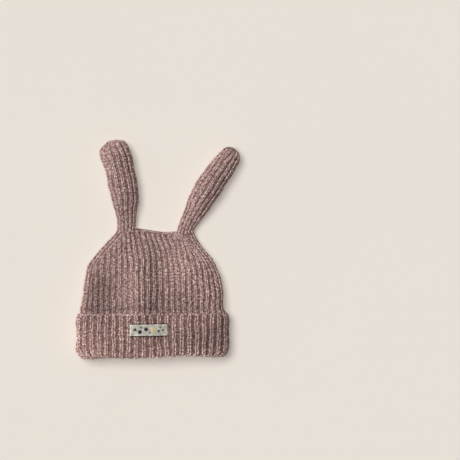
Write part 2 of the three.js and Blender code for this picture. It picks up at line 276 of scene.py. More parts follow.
# Rows of stitches: the courses where they begin, how many courses below the cuff's edge its last one lies,
# and how far down under the cuff the crown's face goes on
CROWN_FIRST_ROW = -2
CUFF_FIRST_ROW = 0
EAR_FIRST_ROW = -1
CUFF_LAST_BELOW = 1.55
FACE_BELOW_EDGE = 3

# A stitch's legs: the courses where they begin and end, the power of the half sine that bows them, their
# size at the ends, and the least and greatest scale of the yarn
LEG_START = -0.3
LEG_END = 1.2
BOW_POWER = 0.8
END_SIZE = 0.4
LEAST_SCALE = 0.3
GREATEST_SCALE = 1.25

# How much wider the cuff's stitches open than the others
CUFF_WIDEN = 1.2

# How unevenly the stitches lie: aside in wales, along in courses, up in metres, and in size
UNEVEN_ASIDE = 0.012
UNEVEN_ALONG = 0.04
UNEVEN_UP = 0.0001
UNEVEN_SIZE = 0.06

# Wales, as shares of a full one, whose valleys begin to open and are open. Then the share of a valley's
# painted shade that a crest has too, and the share that a purl bump takes away
CLOSED_WALE = 0.3
OPEN_WALE = 0.8
CREST_SHADE = 0.6
BUMP_LIGHT = 0.2

# Last rings of the crown's outside: how far they lie above the seam, and half of how far further in
TOP_ROUNDING = (0.0006, 0.0012)

# Rows of the crown's wall behind the cuff and of its inner skin, and the depth of that skin's ribs
HIDDEN_ROWS = 5
INNER_ROWS = 40
INNER_RIB = 0.0005

# Rows of the cuff's lining between its edge and its fold, as shares of the cuff's height
LINING_ROWS = (0.8, 0.5)

# The seam's chain: its first and last wale, the wales from leg to leg and that half a leg spans, the courses
# below the seam where a leg begins and ends, and the size of its yarn
SEAM_FIRST = 7.6
SEAM_LAST = 17.4
SEAM_EVERY = 0.5
SEAM_HALF = 0.32
SEAM_START = 0.12
SEAM_END = 0.02
SEAM_YARN = 0.8

# Loops of the cuff's top edge: middle from a rib's crest and half width in wales, courses below the edge,
# and the size of their yarn, with how unevenly they lie
EDGE_LOOPS = [
    {"middle": 0.0, "half": 0.2, "down": 0.62, "yarn": 1.15},
    {"middle": 0.0, "half": 0.15, "down": 0.38, "yarn": 1.0},
    {"middle": 0.5, "half": 0.3, "down": 0.52, "yarn": 0.95},
]
LOOPS_ASIDE = 0.03
LOOPS_ALONG = 0.08

# Loose fibres: the share of them on each face, the depth of their roots, the least and greatest of their
# lengths and of how far they rise as shares of their own length, and how much thinner their tips are
FIBRE_SHARES = {"crown": 0.45, "cuff": 0.3, "ear_left": 0.125, "ear_right": 0.125}
FIBRE_ROOT = 0.0003
FIBRE_LENGTHS = (0.4, 1.3)
FIBRE_RISES = (0.15, 0.6)
FIBRE_TAPER = 0.6

# Seed of each piece's random numbers
SEEDS = {"crown": 11, "cuff": 12, "ear_left": 20, "ear_right": 21, "fuzz": 31}

# The tape's steps round an end, along and across, how far it sags between the ribs, and a sag's width
# against a rib's
TAPE_BEND_STEPS = 9
TAPE_STEPS = 49
TAPE_CROSS_STEPS = 21
TAPE_SAG = 0.00012
TAPE_SAG_WAVE = 1.15

# Lift of the tape's underside between its folded ends as a share of its thickness, how much thinner its long
# rims are and by what power of the way across, and where its lighter rims begin and are fully light
UNDERSIDE_LIFT = 0.45
RIM_THINNER = 0.25
RIM_POWER = 12
LONG_RIM = (0.72, 0.9)
END_RIM = (0.93, 0.99)

# Sewing stitches on each long edge, dark so that they also stand for the painted shadow in the gap beside
# the tape: their number, how far along and out from the tape's middle they lie and half their length as
# shares of its half sizes, their lift as a share of its thickness, their bow and radius
TACKS = 22
TACK_ALONG = 0.97
TACK_OUT = 1.09
TACK_HALF = 0.036
TACK_LIFT = 0.6
TACK_BOW = 0.0002
TACK_RADIUS = 0.0008
TACK_SIDES = 6
TACK_SPANS = 4

# Turns of the plies along one leg, their height against the fibres', how often the loose fibres' colour
# changes against the wool's patches, and the fineness of the tape's weave
PLY_TWIST = 1.6
PLY_HEIGHT = 0.35
FUZZ_PATCHES = 6
WEAVE_SCALE = 420.0

# Reach of the floor, and the ways to the lights
FLOOR_REACH = 4.0
KEY_WAY = (-0.36, 0.32, 1.2)
SIDE_WAY = (-0.9, 0.25, 0.35)

# Photograph
PIXEL = 0.001155
IMAGE_PIXELS = 460
CUFF_MIDDLE_PIXEL = 152.5
HEM_PIXEL = 359.3


def read(rows, key, column, share):
    """A column of a table at shares: a cubic between each two rows, whose slope at a row is the slope
    from the row before it to the row after it."""
    keys = np.array([row[key] for row in rows], float)
    values = np.array([row[column] for row in rows], float)
    last = len(rows) - 1
    before = np.maximum(np.arange(last + 1) - 1, 0)
    after = np.minimum(np.arange(last + 1) + 1, last)
    slopes = (values[after] - values[before]) / (keys[after] - keys[before])
    i = np.clip(np.searchsorted(keys, share, side="left") - 1, 0, last - 1)
    span = keys[i + 1] - keys[i]
    t = np.clip((share - keys[i]) / span, 0, 1)
    rise = values[i + 1] - values[i]
    bend = (1 - t) * (slopes[i] * span - rise) - t * (slopes[i + 1] * span - rise)
    return values[i] + rise * t + t * (1 - t) * bend


def smoothstep(x, low, high):
    """0 below low, 1 above high, and 3t² - 2t³ in between."""
    t = np.clip((x - low) / (high - low), 0, 1)
    return t * t * (3 - 2 * t)


def mix(a, b, t):
    """a where t is 0, b where t is 1, and in between a + (b - a) t."""
    return a + (b - a) * t


def bell(x, y, spot):
    """A bell over a spot: exp(-a² - b²), where a and b are the ways from its middle over its reaches."""
    a = (x - spot["x"]) / spot["wide"]
    b = (y - spot["y"]) / spot["tall"]
    return np.exp(-a * a - b * b)


def unit(vectors):
    """Vectors along the last axis, each made one long."""
    return vectors / np.maximum(np.linalg.norm(vectors, axis=-1, keepdims=True), 1e-12)


def settle(points):
    """The hat settles as one: the hem slopes up to the right and is drawn up in bell-shaped places, the seam
    slopes down and sags, the front sinks into bell-shaped hollows and sways by a sum of sines, and what
    would lie below the floor is pressed flat."""
    x, y, z = points[..., 0], points[..., 1], points[..., 2]
    up = np.clip(y / BODY_HEIGHT, 0, 1)
    hem = HEM_RISE * (x / CUFF_WIDTH + 0.5) * (1 - up)
    for drawn in HEM_LIFTS:
        hem = hem + drawn["by"] * bell(x, y, drawn)
    sag = SEAM_SAG * up**SAG_POWER * np.exp(-(((x - SAG_ACROSS) / SAG_REACH) ** 2))
    seam = -SEAM_FALL * (x / CUFF_WIDTH) * up**2 - sag
    sink = 0
    for hollow in HOLLOWS:
        sink = sink + hollow["deep"] * LYING_HEIGHT * bell(x / CUFF_WIDTH, y / BODY_HEIGHT, hollow)
    height = np.clip(z, 0, LYING_HEIGHT) / LYING_HEIGHT
    lift = 0
    shift = 0
    for sway in SWAYS:
        wave = np.sin(2 * math.pi * (sway["across"] * x + sway["up"] * y) + sway["phase"])
        lift = lift + sway["lift"] * wave
        shift = shift + sway["shift"] * wave
    settled = z - sink * height - PRESSED_FLAT + SWAY_LIFT * lift * height
    return np.stack([x + SWAY_SHIFT * shift, y + hem + seam, np.maximum(settled, 0)], axis=-1)


def row_origin():
    """Where the middle of the hem lies in the frame. The label's lowest left corner is known in both: here
    from the label's sizes, moved up by the hem's slope and down by the seam's, and there from its box."""
    corner = [LABEL_ACROSS - LABEL_WIDTH / 2, CUFF_HEIGHT - LABEL_BELOW_EDGE - LABEL_HEIGHT, 0.0]
    up = corner[1] / BODY_HEIGHT
    share = corner[0] / CUFF_WIDTH
    rise = HEM_RISE * (share + 0.5) * (1 - up) - SEAM_FALL * share * up**2
    low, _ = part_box("label")
    return np.array([low.x - corner[0], low.y - corner[1] - rise, 0.0])


ORIGIN = row_origin()


# Faces of the hat

def sections(y, side, inset):
    """Half sections across the hat at heights y above the hem, from the left side fold to the right one:
    a rounded box, |x/a|^p + |z/b|^p = 1, sunk between the necks. Gives x, z and the length walked."""
    up = np.clip((y - CUFF_HEIGHT) / (BODY_HEIGHT - CUFF_HEIGHT), 0, 1)
    row = {key: read(CROWN_ROWS, "up", key, up)[:, None] for key in CROWN_ROWS[0]}
    inset = np.broadcast_to(inset, y.shape)[:, None]
    left = CROWN_HALF * row["left"] - inset
    right = CROWN_HALF * row["right"] - inset
    low = CUFF_WALL * row["raised"]
    flat = row["flat"]
    high = mix(CROWN_HEIGHT, NECK_THICKNESS, flat)
    fold = mix(low + SIDE_FOLD_HEIGHT / CROWN_HEIGHT * (high - low), NECK_THICKNESS / 2, flat)
    reach = (high - fold if side > 0 else fold - low) - inset
    shape = FULLNESS["front" if side > 0 else "back"]
    power = mix(shape["open"], shape["gathered"], flat)
    sunk = row["dip"] * (1 - SEAM_THICKNESS / NECK_THICKNESS)
    angle = np.linspace(0, math.pi, SECTION_STEPS + 1)
    c = -np.cos(angle)[None, :]
    s = np.clip(np.sin(angle), 0, 1)[None, :]
    x = np.sign(c) * np.abs(c) ** (2 / power) * np.where(c < 0, left, right)
    middle = (LEFT_NECK + RIGHT_NECK) / 2
    half = (RIGHT_NECK - LEFT_NECK) / 2
    between = 1 - smoothstep(np.abs(x - middle), half - SEAM_RUN, half)
    z = (fold + side * reach * s ** (2 / power)) * (1 - sunk * between)
    steps = np.hypot(np.diff(x), np.diff(z))
    walked = np.concatenate([np.zeros((len(y), 1)), np.cumsum(steps, axis=1)], axis=1)
    return x, z, walked


def wale_share(across, kept, drawn_in):
    """Where a wale lies across half the front, from 0 at the centre to 1 at the side fold. The centre's
    wales and the edge's keep their width, and those in between are squeezed to the narrowest. drawn_in is
    the share by which all wales narrow alike instead."""
    edge = 1 - EDGE_WALES
    centre = np.clip((kept - EDGE_WALES - NARROWEST_WALE * edge) / (1 - NARROWEST_WALE), 0, edge)
    inner = np.minimum(across, centre)
    squeezed = np.clip(across - centre, 0, edge - centre) * NARROWEST_WALE
    outer = np.maximum(across - edge, 0)
    cut = (inner + squeezed + outer) / (centre + (edge - centre) * NARROWEST_WALE + EDGE_WALES)
    return mix(cut, across, drawn_in)


def sideways(x, y):
    """How far the wales of the front have been pulled aside: the sum of the bell-shaped pulls."""
    return sum(pull["by"] * bell(x, y, pull) for pull in PULLS)


def round_corners(points, corners):
    """Moves points near the side folds in: by a bell over the height, times a smooth step that reaches 1
    at the fold."""
    x = points[..., 0]
    outer = smoothstep(np.abs(x), corners["start"] * CROWN_HALF, CROWN_HALF)
    near = np.exp(-(((points[..., 1] - corners["y"]) / corners["tall"]) ** 2))
    x -= np.sign(x) * corners["by"] * near * outer


def body_points(y, inset, wales, across=RIBS_ACROSS):
    """Points on the hat's body for each height and each wale. Wales run from the left side fold across
    the front to the right one, and back again behind, across of them on each side. A point lies at its
    wale's share of the length walked along the half section there. inset is how far in the points lie, and
    the hem's corners are drawn in."""
    points = np.zeros((len(y), len(wales), 3))
    points[..., 1] = y[:, None]
    for side in (1, -1):
        x, z, walked = sections(y, side, inset)
        widest = sections(y * 0, side, inset)[2]
        own = (wales < across) if side > 0 else (wales >= across)
        turn = wales[own] % across / across
        q = side * (2 * turn - 1)
        columns = np.flatnonzero(own)
        for i in range(len(y)):
            middle = walked[i, SECTION_STEPS // 2]
            half = np.where(q < 0, middle, walked[i, -1] - middle)
            drawn_in = np.where(q < 0, DRAWN_IN_LEFT, DRAWN_IN_RIGHT)
            share = wale_share(np.abs(q), half / widest[i, SECTION_STEPS // 2], drawn_in)
            length = middle + np.sign(q) * half * share
            if side > 0:
                at = np.interp(length, walked[i], x[i])
                length = np.clip(length + sideways(at, y[i]), 0, walked[i, -1])
            points[i, columns, 0] = np.interp(length, walked[i], x[i])
            points[i, columns, 2] = np.interp(length, walked[i], z[i])
    round_corners(points, HEM_CORNERS)
    return points


class Knit:
    """A knitted face: a grid of points, its rows at given courses and its columns evenly spaced round all
    of its wales. The way out of the cloth at a point is square to the ways across and up there."""

    def __init__(self, points, courses, wales):
        self.courses = courses
        self.wales = wales
        self.per_wale = points.shape[1] / wales
        across = np.roll(points, -1, axis=1) - np.roll(points, 1, axis=1)
        out = unit(np.cross(unit(across), unit(np.gradient(points, axis=0))))
        self.points = np.concatenate([points, points[:, :1]], axis=1) + ORIGIN
        self.out = np.concatenate([out, out[:, :1]], axis=1)

    def cell(self, wale, course):
        """The grid's row and column before a place, each with the place's share of the way to the next."""
        i = np.interp(course, self.courses, np.arange(len(self.courses)))
        i0 = np.minimum(i.astype(int), len(self.courses) - 2)
        j = np.mod(wale, self.wales) * self.per_wale
        j0 = np.minimum(j.astype(int), self.points.shape[1] - 2)
        return i0, (i - i0)[..., None], j0, (j - j0)[..., None]

    def blend(self, grid, cell):
        """A grid's value at a place: its four values around it, mixed by the two shares of the way."""
        i, s, j, t = cell
        low = mix(grid[i, j], grid[i, j + 1], t)
        high = mix(grid[i + 1, j], grid[i + 1, j + 1], t)
        return mix(low, high, s)

    def at(self, wale, course, lift):
        """Points over the face, lift out of it along the way out of the cloth."""
        wale, course, lift = np.broadcast_arrays(wale, course, lift)
        return self.blend(self.points, self.cell(wale, course)) + self.outward(wale, course) * lift[..., None]

    def outward(self, wale, course):
        """The way out of the cloth at a place, mixed from the four around it and made one long."""
        return unit(self.blend(self.out, self.cell(*np.broadcast_arrays(wale, course))))

    def pitch(self, wale, course):
        """Width of the wale around a place: the distance between points half a wale to either side."""
        return np.linalg.norm(self.at(wale + 0.5, course, 0.0) - self.at(wale - 0.5, course, 0.0), axis=-1)

    def scale(self, wale, course):
        """How large the yarn is drawn: the width of its wale over a full one, between two limits."""
        return np.clip(self.pitch(wale, course) / FULL_WALE, LEAST_SCALE, GREATEST_SCALE)


def crown_face(course_height):
    """The crown from a little below the cuff's edge to the top seam, with course 0 at the cuff's edge: the
    body's points at heights evenly spaced."""
    low = CUFF_HEIGHT - FACE_BELOW_EDGE * course_height
    y = np.arange(low, BODY_HEIGHT, course_height / GROUND_PER_COURSE)
    y = np.append(y, BODY_HEIGHT)
    wales = np.arange(RIBS_ROUND * FACE_PER_WALE) / FACE_PER_WALE
    return Knit(settle(body_points(y, 0.0, wales)), (y - CUFF_HEIGHT) / course_height, RIBS_ROUND)


def arc(middle_out, middle_y, radius, start, end, steps):
    """Points on an arc of the cuff's profile, out to the right and up, between two angles in degrees."""
    angle = np.radians(np.linspace(start, end, steps))
    return np.stack([middle_out + radius * np.cos(angle), middle_y + radius * np.sin(angle)], axis=1)


def cuff_profile():
    """The cuff's face from its foot inside the mouth, round the hem's fold, up the outside and over its
    top edge, as points (out from the crown's skin, height above the hem)."""
    foot = [[-CROWN_CLOTH, 2 * FOLD_RADIUS]]
    fold = arc(CUFF_WALL - FOLD_RADIUS, FOLD_RADIUS, FOLD_RADIUS, 180, 360, FOLD_STEPS)
    lip = arc(CUFF_WALL - LIP_RADIUS, CUFF_HEIGHT - LIP_RADIUS, LIP_RADIUS, 0, 90, LIP_STEPS)
    return np.concatenate([foot, fold, lip])


def profile_at(profile, length):
    """Points at lengths walked along a profile, straight between its own points, and its whole length."""
    walked = np.append(0, np.cumsum(np.linalg.norm(np.diff(profile, axis=0), axis=1)))
    return np.stack([np.interp(length, walked, profile[:, k]) for k in (0, 1)], axis=1), walked[-1]


def cuff_face(course_height):
    """The cuff's face: its profile carried round the body, with course 0 at the foot inside the mouth and
    the ends of its top edge drawn in."""
    profile = cuff_profile()
    whole = profile_at(profile, np.zeros(1))[1]
    length = np.append(np.arange(0, whole, course_height / GROUND_PER_COURSE), whole)
    places = profile_at(profile, length)[0]
    wales = np.arange(2 * CUFF_RIBS_ACROSS * FACE_PER_WALE) / FACE_PER_WALE
    points = body_points(places[:, 1], -places[:, 0], wales, CUFF_RIBS_ACROSS)
    round_corners(points, EDGE_CORNERS)
    return Knit(settle(points), length / course_height, 2 * CUFF_RIBS_ACROSS)


def ear_rings(ear, rows, neck):
    """Fine rings of an ear from below its neck to its closed tip: the middle, tilt and half sizes of each,
    and the length walked over its side. The spine is an arc, and the tip's cap is a quarter of an ellipse."""
    below = np.linspace(-EAR_ROOT / ear["length"], 0, ROOT_STEPS + 1)[:-1]
    along = np.concatenate([below, np.linspace(0, 1, SPINE_STEPS + 1), np.full(CAP_STEPS, 1.0)])
    cap = np.append(np.zeros(ROOT_STEPS + SPINE_STEPS), np.linspace(0, math.pi / 2, CAP_STEPS + 1))
    held = np.clip(along, 0, 1)
    neckness = 1 - smoothstep(held, 0, NECK_SHARE)
    lean = np.radians(mix(ear["at_neck"], ear["at_tip"], held))
    step = np.append(0, np.diff(along)) * ear["length"]
    step[: len(below) + 1] = 0
    beyond = np.minimum(along, 0) * ear["length"] + TIP_CAP * np.sin(cap)
    tilt = lean * (1 - neckness)
    rings = {
        "tilt": tilt,
        "x": neck + np.cumsum(np.sin(lean) * step) + beyond * np.sin(tilt),
        "y": BODY_HEIGHT + CLEARANCE + np.cumsum(np.cos(lean) * step) + beyond * np.cos(tilt),
        "wide": mix(ear["width"] * read(rows, "along", "wide", held), NECK_WIDTH, neckness) / 2,
        "thick": mix(ear["thickness"] * read(rows, "along", "thick", held), NECK_THICKNESS, neckness) / 2,
    }
    rings["z"] = np.maximum.accumulate(rings["thick"])
    rings["wide"] = rings["wide"] * np.cos(cap)
    rings["thick"] = rings["thick"] * np.cos(cap)
    side = (rings["wide"] + rings["thick"]) / 2
    walk = np.hypot(np.diff(rings["x"]), np.diff(rings["y"]))
    rings["walked"] = np.append(0, np.cumsum(np.hypot(walk, np.diff(side)))) - EAR_ROOT
    return rings


def ear_points(rings, walked, wales):
    """Points on an ear at lengths walked up its side, for each wale: ellipses whose points are spaced
    evenly round their rim."""
    at = {key: np.interp(walked, rings["walked"], values) for key, values in rings.items()}
    points = np.zeros((len(walked), len(wales), 3))
    rim = np.linspace(0, 2 * math.pi, RIM_STEPS + 1)
    for i in range(len(walked)):
        a = max(at["wide"][i], LEAST_RADIUS)
        b = max(at["thick"][i], LEAST_RADIUS)
        length = np.append(0, np.cumsum(np.hypot(a * np.diff(np.cos(rim)), b * np.diff(np.sin(rim)))))
        turn = np.interp(wales / EAR_RIBS * length[-1], length, rim)
        side = -a * np.cos(turn)
        points[i, :, 0] = at["x"][i] + side * np.cos(at["tilt"][i])
        points[i, :, 1] = at["y"][i] - side * np.sin(at["tilt"][i])
        points[i, :, 2] = at["z"][i] + b * np.sin(turn)
    return points


def ear_face(ear, rows, neck, course_height):
    """An ear's face from a little below its neck to its tip, with course 0 at the neck."""
    rings = ear_rings(ear, rows, neck)
    walked = np.arange(rings["walked"][0], rings["walked"][-1], course_height / GROUND_PER_COURSE)
    wales = np.arange(EAR_RIBS * FACE_PER_WALE) / FACE_PER_WALE
    points = settle(ear_points(rings, walked, wales))
    return Knit(points, walked / course_height, EAR_RIBS)


# Meshes

def tone(points):
    """How light the wool is painted at points, with painted shade and painted light: 1 less the sum of the
    soft patches, each a bell.
    """
    light = 1.0
    for patch in PAINTED_SHADE_AND_LIGHT:
        light = light - patch["dark"] * bell(points[:, 0], points[:, 1], patch)
    return light


def point_values(mesh, name, values):
    """A number for each point of a mesh, that materials can read."""
    attribute = mesh.attributes.new(name, "FLOAT", "POINT")
    attribute.data.foreach_set("value", np.ascontiguousarray(values, np.float32))


def mesh_piece(name, points, corners, sizes, material, slot, uv=None, shade=None):
    """A smooth piece from points, the corner list of its faces and the number of corners of each face.
    uv holds a place on the yarn for each corner, shade a number for each point that the material reads."""
    mesh = bpy.data.meshes.new(name)
    mesh.vertices.add(len(points))
    mesh.vertices.foreach_set("co", np.ascontiguousarray(points, np.float32).ravel())
    mesh.loops.add(len(corners))
    mesh.loops.foreach_set("vertex_index", np.ascontiguousarray(corners, np.int32))
    mesh.polygons.add(len(sizes))
    starts = np.append(0, np.cumsum(sizes)[:-1])
    mesh.polygons.foreach_set("loop_start", np.ascontiguousarray(starts, np.int32))
    if uv is not None:
        mesh.uv_layers.new(name="Yarn").data.foreach_set("uv", np.ascontiguousarray(uv, np.float32).ravel())
    if shade is not None:
        point_values(mesh, "shade", shade)
    # Wool pieces also carry the painted shade and painted light of the soft patches, as the value tone
    if slot == "wool":
        point_values(mesh, "tone", tone(points - ORIGIN))
    mesh.update(calc_edges=True)
    mesh.validate()
    mesh.shade_smooth()
    mesh.materials.append(bpy.data.materials[material])
    piece = bpy.data.objects.new(name, mesh)
    bpy.context.scene.collection.objects.link(piece)
    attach(piece, "root")
    return piece


def band(rings, count, closed=False):
    """Quads between each ring of points and the next, and from the last to the first in a closed band."""
    i = np.arange(rings if closed else rings - 1)[:, None] * count
    j = np.arange(count)[None, :]
    k = (j + 1) % count
    up = (i + count) % (rings * count)
    return np.stack([i + j, i + k, up + k, up + j], axis=-1).reshape(-1, 4)


def ring_faces(rings, count, closed):
    """Quads over rings with the same number of points, with an end cap laced from the first half of a
    ring to its second half where the band isn't closed."""
    quads = band(rings, count, closed)
    if closed:
        return quads.ravel(), np.full(len(quads), 4)
    first = np.arange(count)[::-1]
    last = (rings - 1) * count + np.arange(count)
    corners = np.concatenate([quads.ravel(), *lace(first), *lace(last)])
    return corners, np.concatenate([np.full(len(quads), 4), lace_sizes(count), lace_sizes(count)])


def lace(ring):
    """Faces across a ring: its points are joined in pairs from one end fold to the other."""
    count = len(ring)
    j = np.arange(1, count // 2 - 1)
    quads = np.stack([ring[j], ring[j + 1], ring[count - j - 1], ring[count - j]], axis=-1)
    ends = [[ring[0], ring[1], ring[count - 1]],
            [ring[count // 2 - 1], ring[count // 2], ring[count // 2 + 1]]]
    return quads.ravel(), np.array(ends).ravel()


def lace_sizes(count):
    """Numbers of corners of the faces that lace a ring of count points: quads, and two triangles."""
    return np.concatenate([np.full(count // 2 - 2, 4), [3, 3]])


def outward_faces(points, corners, sizes):
    """The corner list turned so that the closed surface has a positive volume."""
    starts = np.append(0, np.cumsum(sizes)[:-1])
    a, b, c = (points[corners[starts + k]] for k in (0, 1, 2))
    volume = np.einsum("ij,ij->i", a, np.cross(b, c)).sum()
    four = sizes == 4
    d = points[corners[starts[four] + 3]]
    volume += np.einsum("ij,ij->i", a[four], np.cross(c[four], d)).sum()
    if volume > 0:
        return corners
    turned = corners.copy()
    for size in (3, 4):
        block = starts[sizes == size][:, None] + np.arange(size)
        turned[block] = corners[block][:, ::-1]
    return turned


def above_floor(points):
    """Points with each height below 0 made 0."""
    return np.maximum(points, [-np.inf, -np.inf, 0])


def closed_piece(name, grid, closed, material, slot, shade):
    """A closed piece over a grid of rings, kept above the floor. shade is what the material reads at each
    point: how much painted shade a valley has there, or how near a rim it lies."""
    rings, count = grid.shape[:2]
    points = above_floor(grid.reshape(-1, 3))
    corners, sizes = ring_faces(rings, count, closed)
    corners = outward_faces(points, corners, sizes)
    return mesh_piece(name, points, corners, sizes, material, slot, shade=shade.ravel())


def tubes(centre, across, out, wide, deep, sides, shades):
    """Closed tubes round middle lines. A ring is an ellipse: its centre, plus wide cos a along across, plus
    deep sin a along out. Gives points, corners, face sizes, a place on the yarn for each corner, and each
    tube's own shade for its points."""
    count, rings = centre.shape[:2]
    turn = 2 * math.pi * np.arange(sides) / sides
    sideways_part = wide[..., None, None] * across[:, :, None, :] * np.cos(turn)[None, None, :, None]
    outward_part = deep[..., None, None] * out[:, :, None, :] * np.sin(turn)[None, None, :, None]
    points = (centre[:, :, None, :] + sideways_part + outward_part).reshape(-1, 3)
    return (points, *tube_faces(count, sides, rings - 1), np.repeat(shades, rings * sides))


def tube_faces(count, sides, spans):
    """Corners, face sizes and places on the yarn of many tubes: u runs round and v runs along."""
    quads = band(spans + 1, sides)
    first = np.arange(sides)[::-1]
    last = spans * sides + np.arange(sides)
    one = np.concatenate([quads.ravel(), first, last])
    row = np.broadcast_to(np.arange(spans)[:, None] / spans, (spans, sides))
    left = np.broadcast_to(np.arange(sides) / sides, (spans, sides))
    u = np.stack([left, left + 1 / sides, left + 1 / sides, left], axis=-1).reshape(-1)
    v = np.stack([row, row, row + 1 / spans, row + 1 / spans], axis=-1).reshape(-1)
    u = np.concatenate([u, first / sides, (last % sides) / sides])
    v = np.concatenate([v, np.zeros(sides), np.ones(sides)])
    sizes = np.concatenate([np.full(spans * sides, 4), [sides, sides]])
    offset = np.arange(count)[:, None] * (spans + 1) * sides
    return ((offset + one[None, :]).ravel(), np.tile(sizes, count),
            np.tile(np.stack([u, v], axis=-1), (count, 1)))


def spindles(knit, start, end, width, depth, arch, rng, spans, fall=0.0):
    """Yarn legs over a face, as closed spindles. start and end are their ends' wales and courses. The
    middle line is straight between them, bowed by arch times a half sine to a power, and sinks by fall
    times the square of the way along. Its cross section is an ellipse, width by depth, that swells from
    its share at the ends to 1 in the middle by the root of a half sine."""
    count = len(start[0])
    t = np.linspace(0, 1, spans + 1)[None, :]
    arc_share = np.sin(math.pi * t)
    scale = knit.scale((start[0] + end[0]) / 2, (start[1] + end[1]) / 2)[:, None]
    wale = mix(start[0][:, None], end[0][:, None], t)
    course = mix(start[1][:, None], end[1][:, None], t)
    bow = arch * (arc_share**BOW_POWER - 1)
    lift = bow - depth / 2 - fall * t * t + rng.normal(0, UNEVEN_UP, (count, 1))
    centre = knit.at(wale, course, lift * scale)
    along = unit(np.gradient(centre, axis=1))
    across = unit(np.cross(along, knit.outward(wale, course)))
    out = np.cross(across, along)
    size = scale * mix(END_SIZE, 1, np.sqrt(arc_share)) * rng.normal(1, UNEVEN_SIZE, (count, 1))
    return tubes(centre, across, out, size * width / 2, size * depth / 2, LEG_SIDES, rng.random(count))


def join(parts):
    """Several sets of tubes as one: the corners of each set count on from the points before it."""
    shifts = np.cumsum([0] + [len(part[0]) for part in parts[:-1]])
    parts = [(part[0], part[1] + shift, *part[2:]) for part, shift in zip(parts, shifts)]
    return tuple(np.concatenate(column) for column in zip(*parts))


def yarn_piece(name, tube_set, material="wool_yarn", slot="wool"):
    """A piece from a set of tubes, kept above the floor."""
    points, corners, sizes, uv, shade = tube_set
    return mesh_piece(name, above_floor(points), corners, sizes, material, slot, uv=uv, shade=shade)


def stitch_legs(knit, wales, crest, first, last, least, yarn, rng, phase=0.0, widen=1.0):
    """Two legs for each knit stitch of the given wales, in a V that opens upwards, on the crest of each
    rib. least is the narrowest wale that is knitted, as a share of a full one, phase shifts the courses
    and widen opens the V."""
    wale, course = np.meshgrid(wales + crest, np.arange(first, last))
    wale, course = wale.ravel(), course.ravel() + phase
    chosen = knit.pitch(wale, course + 0.5) > least * FULL_WALE
    wale, course = wale[chosen], course[chosen]
    wale = wale + rng.normal(0, UNEVEN_ASIDE, len(wale))
    course = course + rng.normal(0, UNEVEN_ALONG, len(wale))
    sets = []
    for side in (-1, 1):
        start = (wale + side * yarn.foot * widen, course + LEG_START)
        end = (wale + side * yarn.spread * widen, course + LEG_END)
        sets.append(spindles(knit, start, end, yarn.leg_width, yarn.leg_depth, yarn.arch, rng, LEG_SPANS,
                             yarn.fall))
    return join(sets)


def rib_ground(knit, crest, wales, courses, yarn):
    """The ground under the stitches: it follows the face, lies deepest between the ribs by a cosine, and
    has a purl bump across each valley at each course. Also gives the painted shade of each point, from 0 to
    1: a share of it on a crest, all of it in a valley, and less on a bump."""
    wale, course = np.meshgrid(wales, courses)
    open_wale = smoothstep(knit.pitch(wale, course) / FULL_WALE, CLOSED_WALE, OPEN_WALE)
    valley = 0.5 - 0.5 * np.cos(2 * math.pi * (wale - crest))
    bump = np.sin(math.pi * course) ** 2 * valley**2
    deep = yarn.ground_depth + open_wale * (yarn.valley_depth * valley - yarn.purl_bump * bump)
    return knit.at(wale, course, -deep), open_wale * mix(CREST_SHADE, 1, valley) * (1 - BUMP_LIGHT * bump)


# Materials

def srgb(red, green, blue):
    """A colour given as 0 to 255 on the screen, in linear light."""
    values = np.array([red, green, blue]) / 255
    return tuple(np.where(values <= 0.04045, values / 12.92, ((values + 0.055) / 1.055) ** 2.4))


def new_material(name):
    """A node material: a function that adds a node with its inputs and settings, a function that gives the
    shader its inputs, and Object coordinates."""
    material = bpy.data.materials.new(name)
    material.use_nodes = True
    nodes = material.node_tree.nodes

    def fill(node, inputs):
        """Links a socket to each input, or sets its value."""
        for key, value in inputs.items():
            if isinstance(value, bpy.types.NodeSocket):
                material.node_tree.links.new(value, node.inputs[key])
            else:
                node.inputs[key].default_value = value
        return node

    def add(kind, inputs=None, **settings):
        """A new node with its settings and inputs."""
        node = nodes.new(kind)
        for key, value in settings.items():
            setattr(node, key, value)
        return fill(node, inputs or {})

    def dress(inputs):
        """Gives the shader its inputs."""
        fill(nodes["Principled BSDF"], inputs)

    return add, dress, add("ShaderNodeTexCoord").outputs["Object"]


def colour_ramp(add, value, *stops):
    """Colours mixed straight between stops, each a position and a colour, by where a value lies."""
    ramp = add("ShaderNodeValToRGB", {"Fac": value})
    elements = ramp.color_ramp.elements
    for position, _ in stops[1:-1]:
        elements.new(position)
    for i, (position, colour) in enumerate(stops):
        elements[i].position = position
        elements[i].color = (*colour, 1)
    return ramp.outputs["Color"]


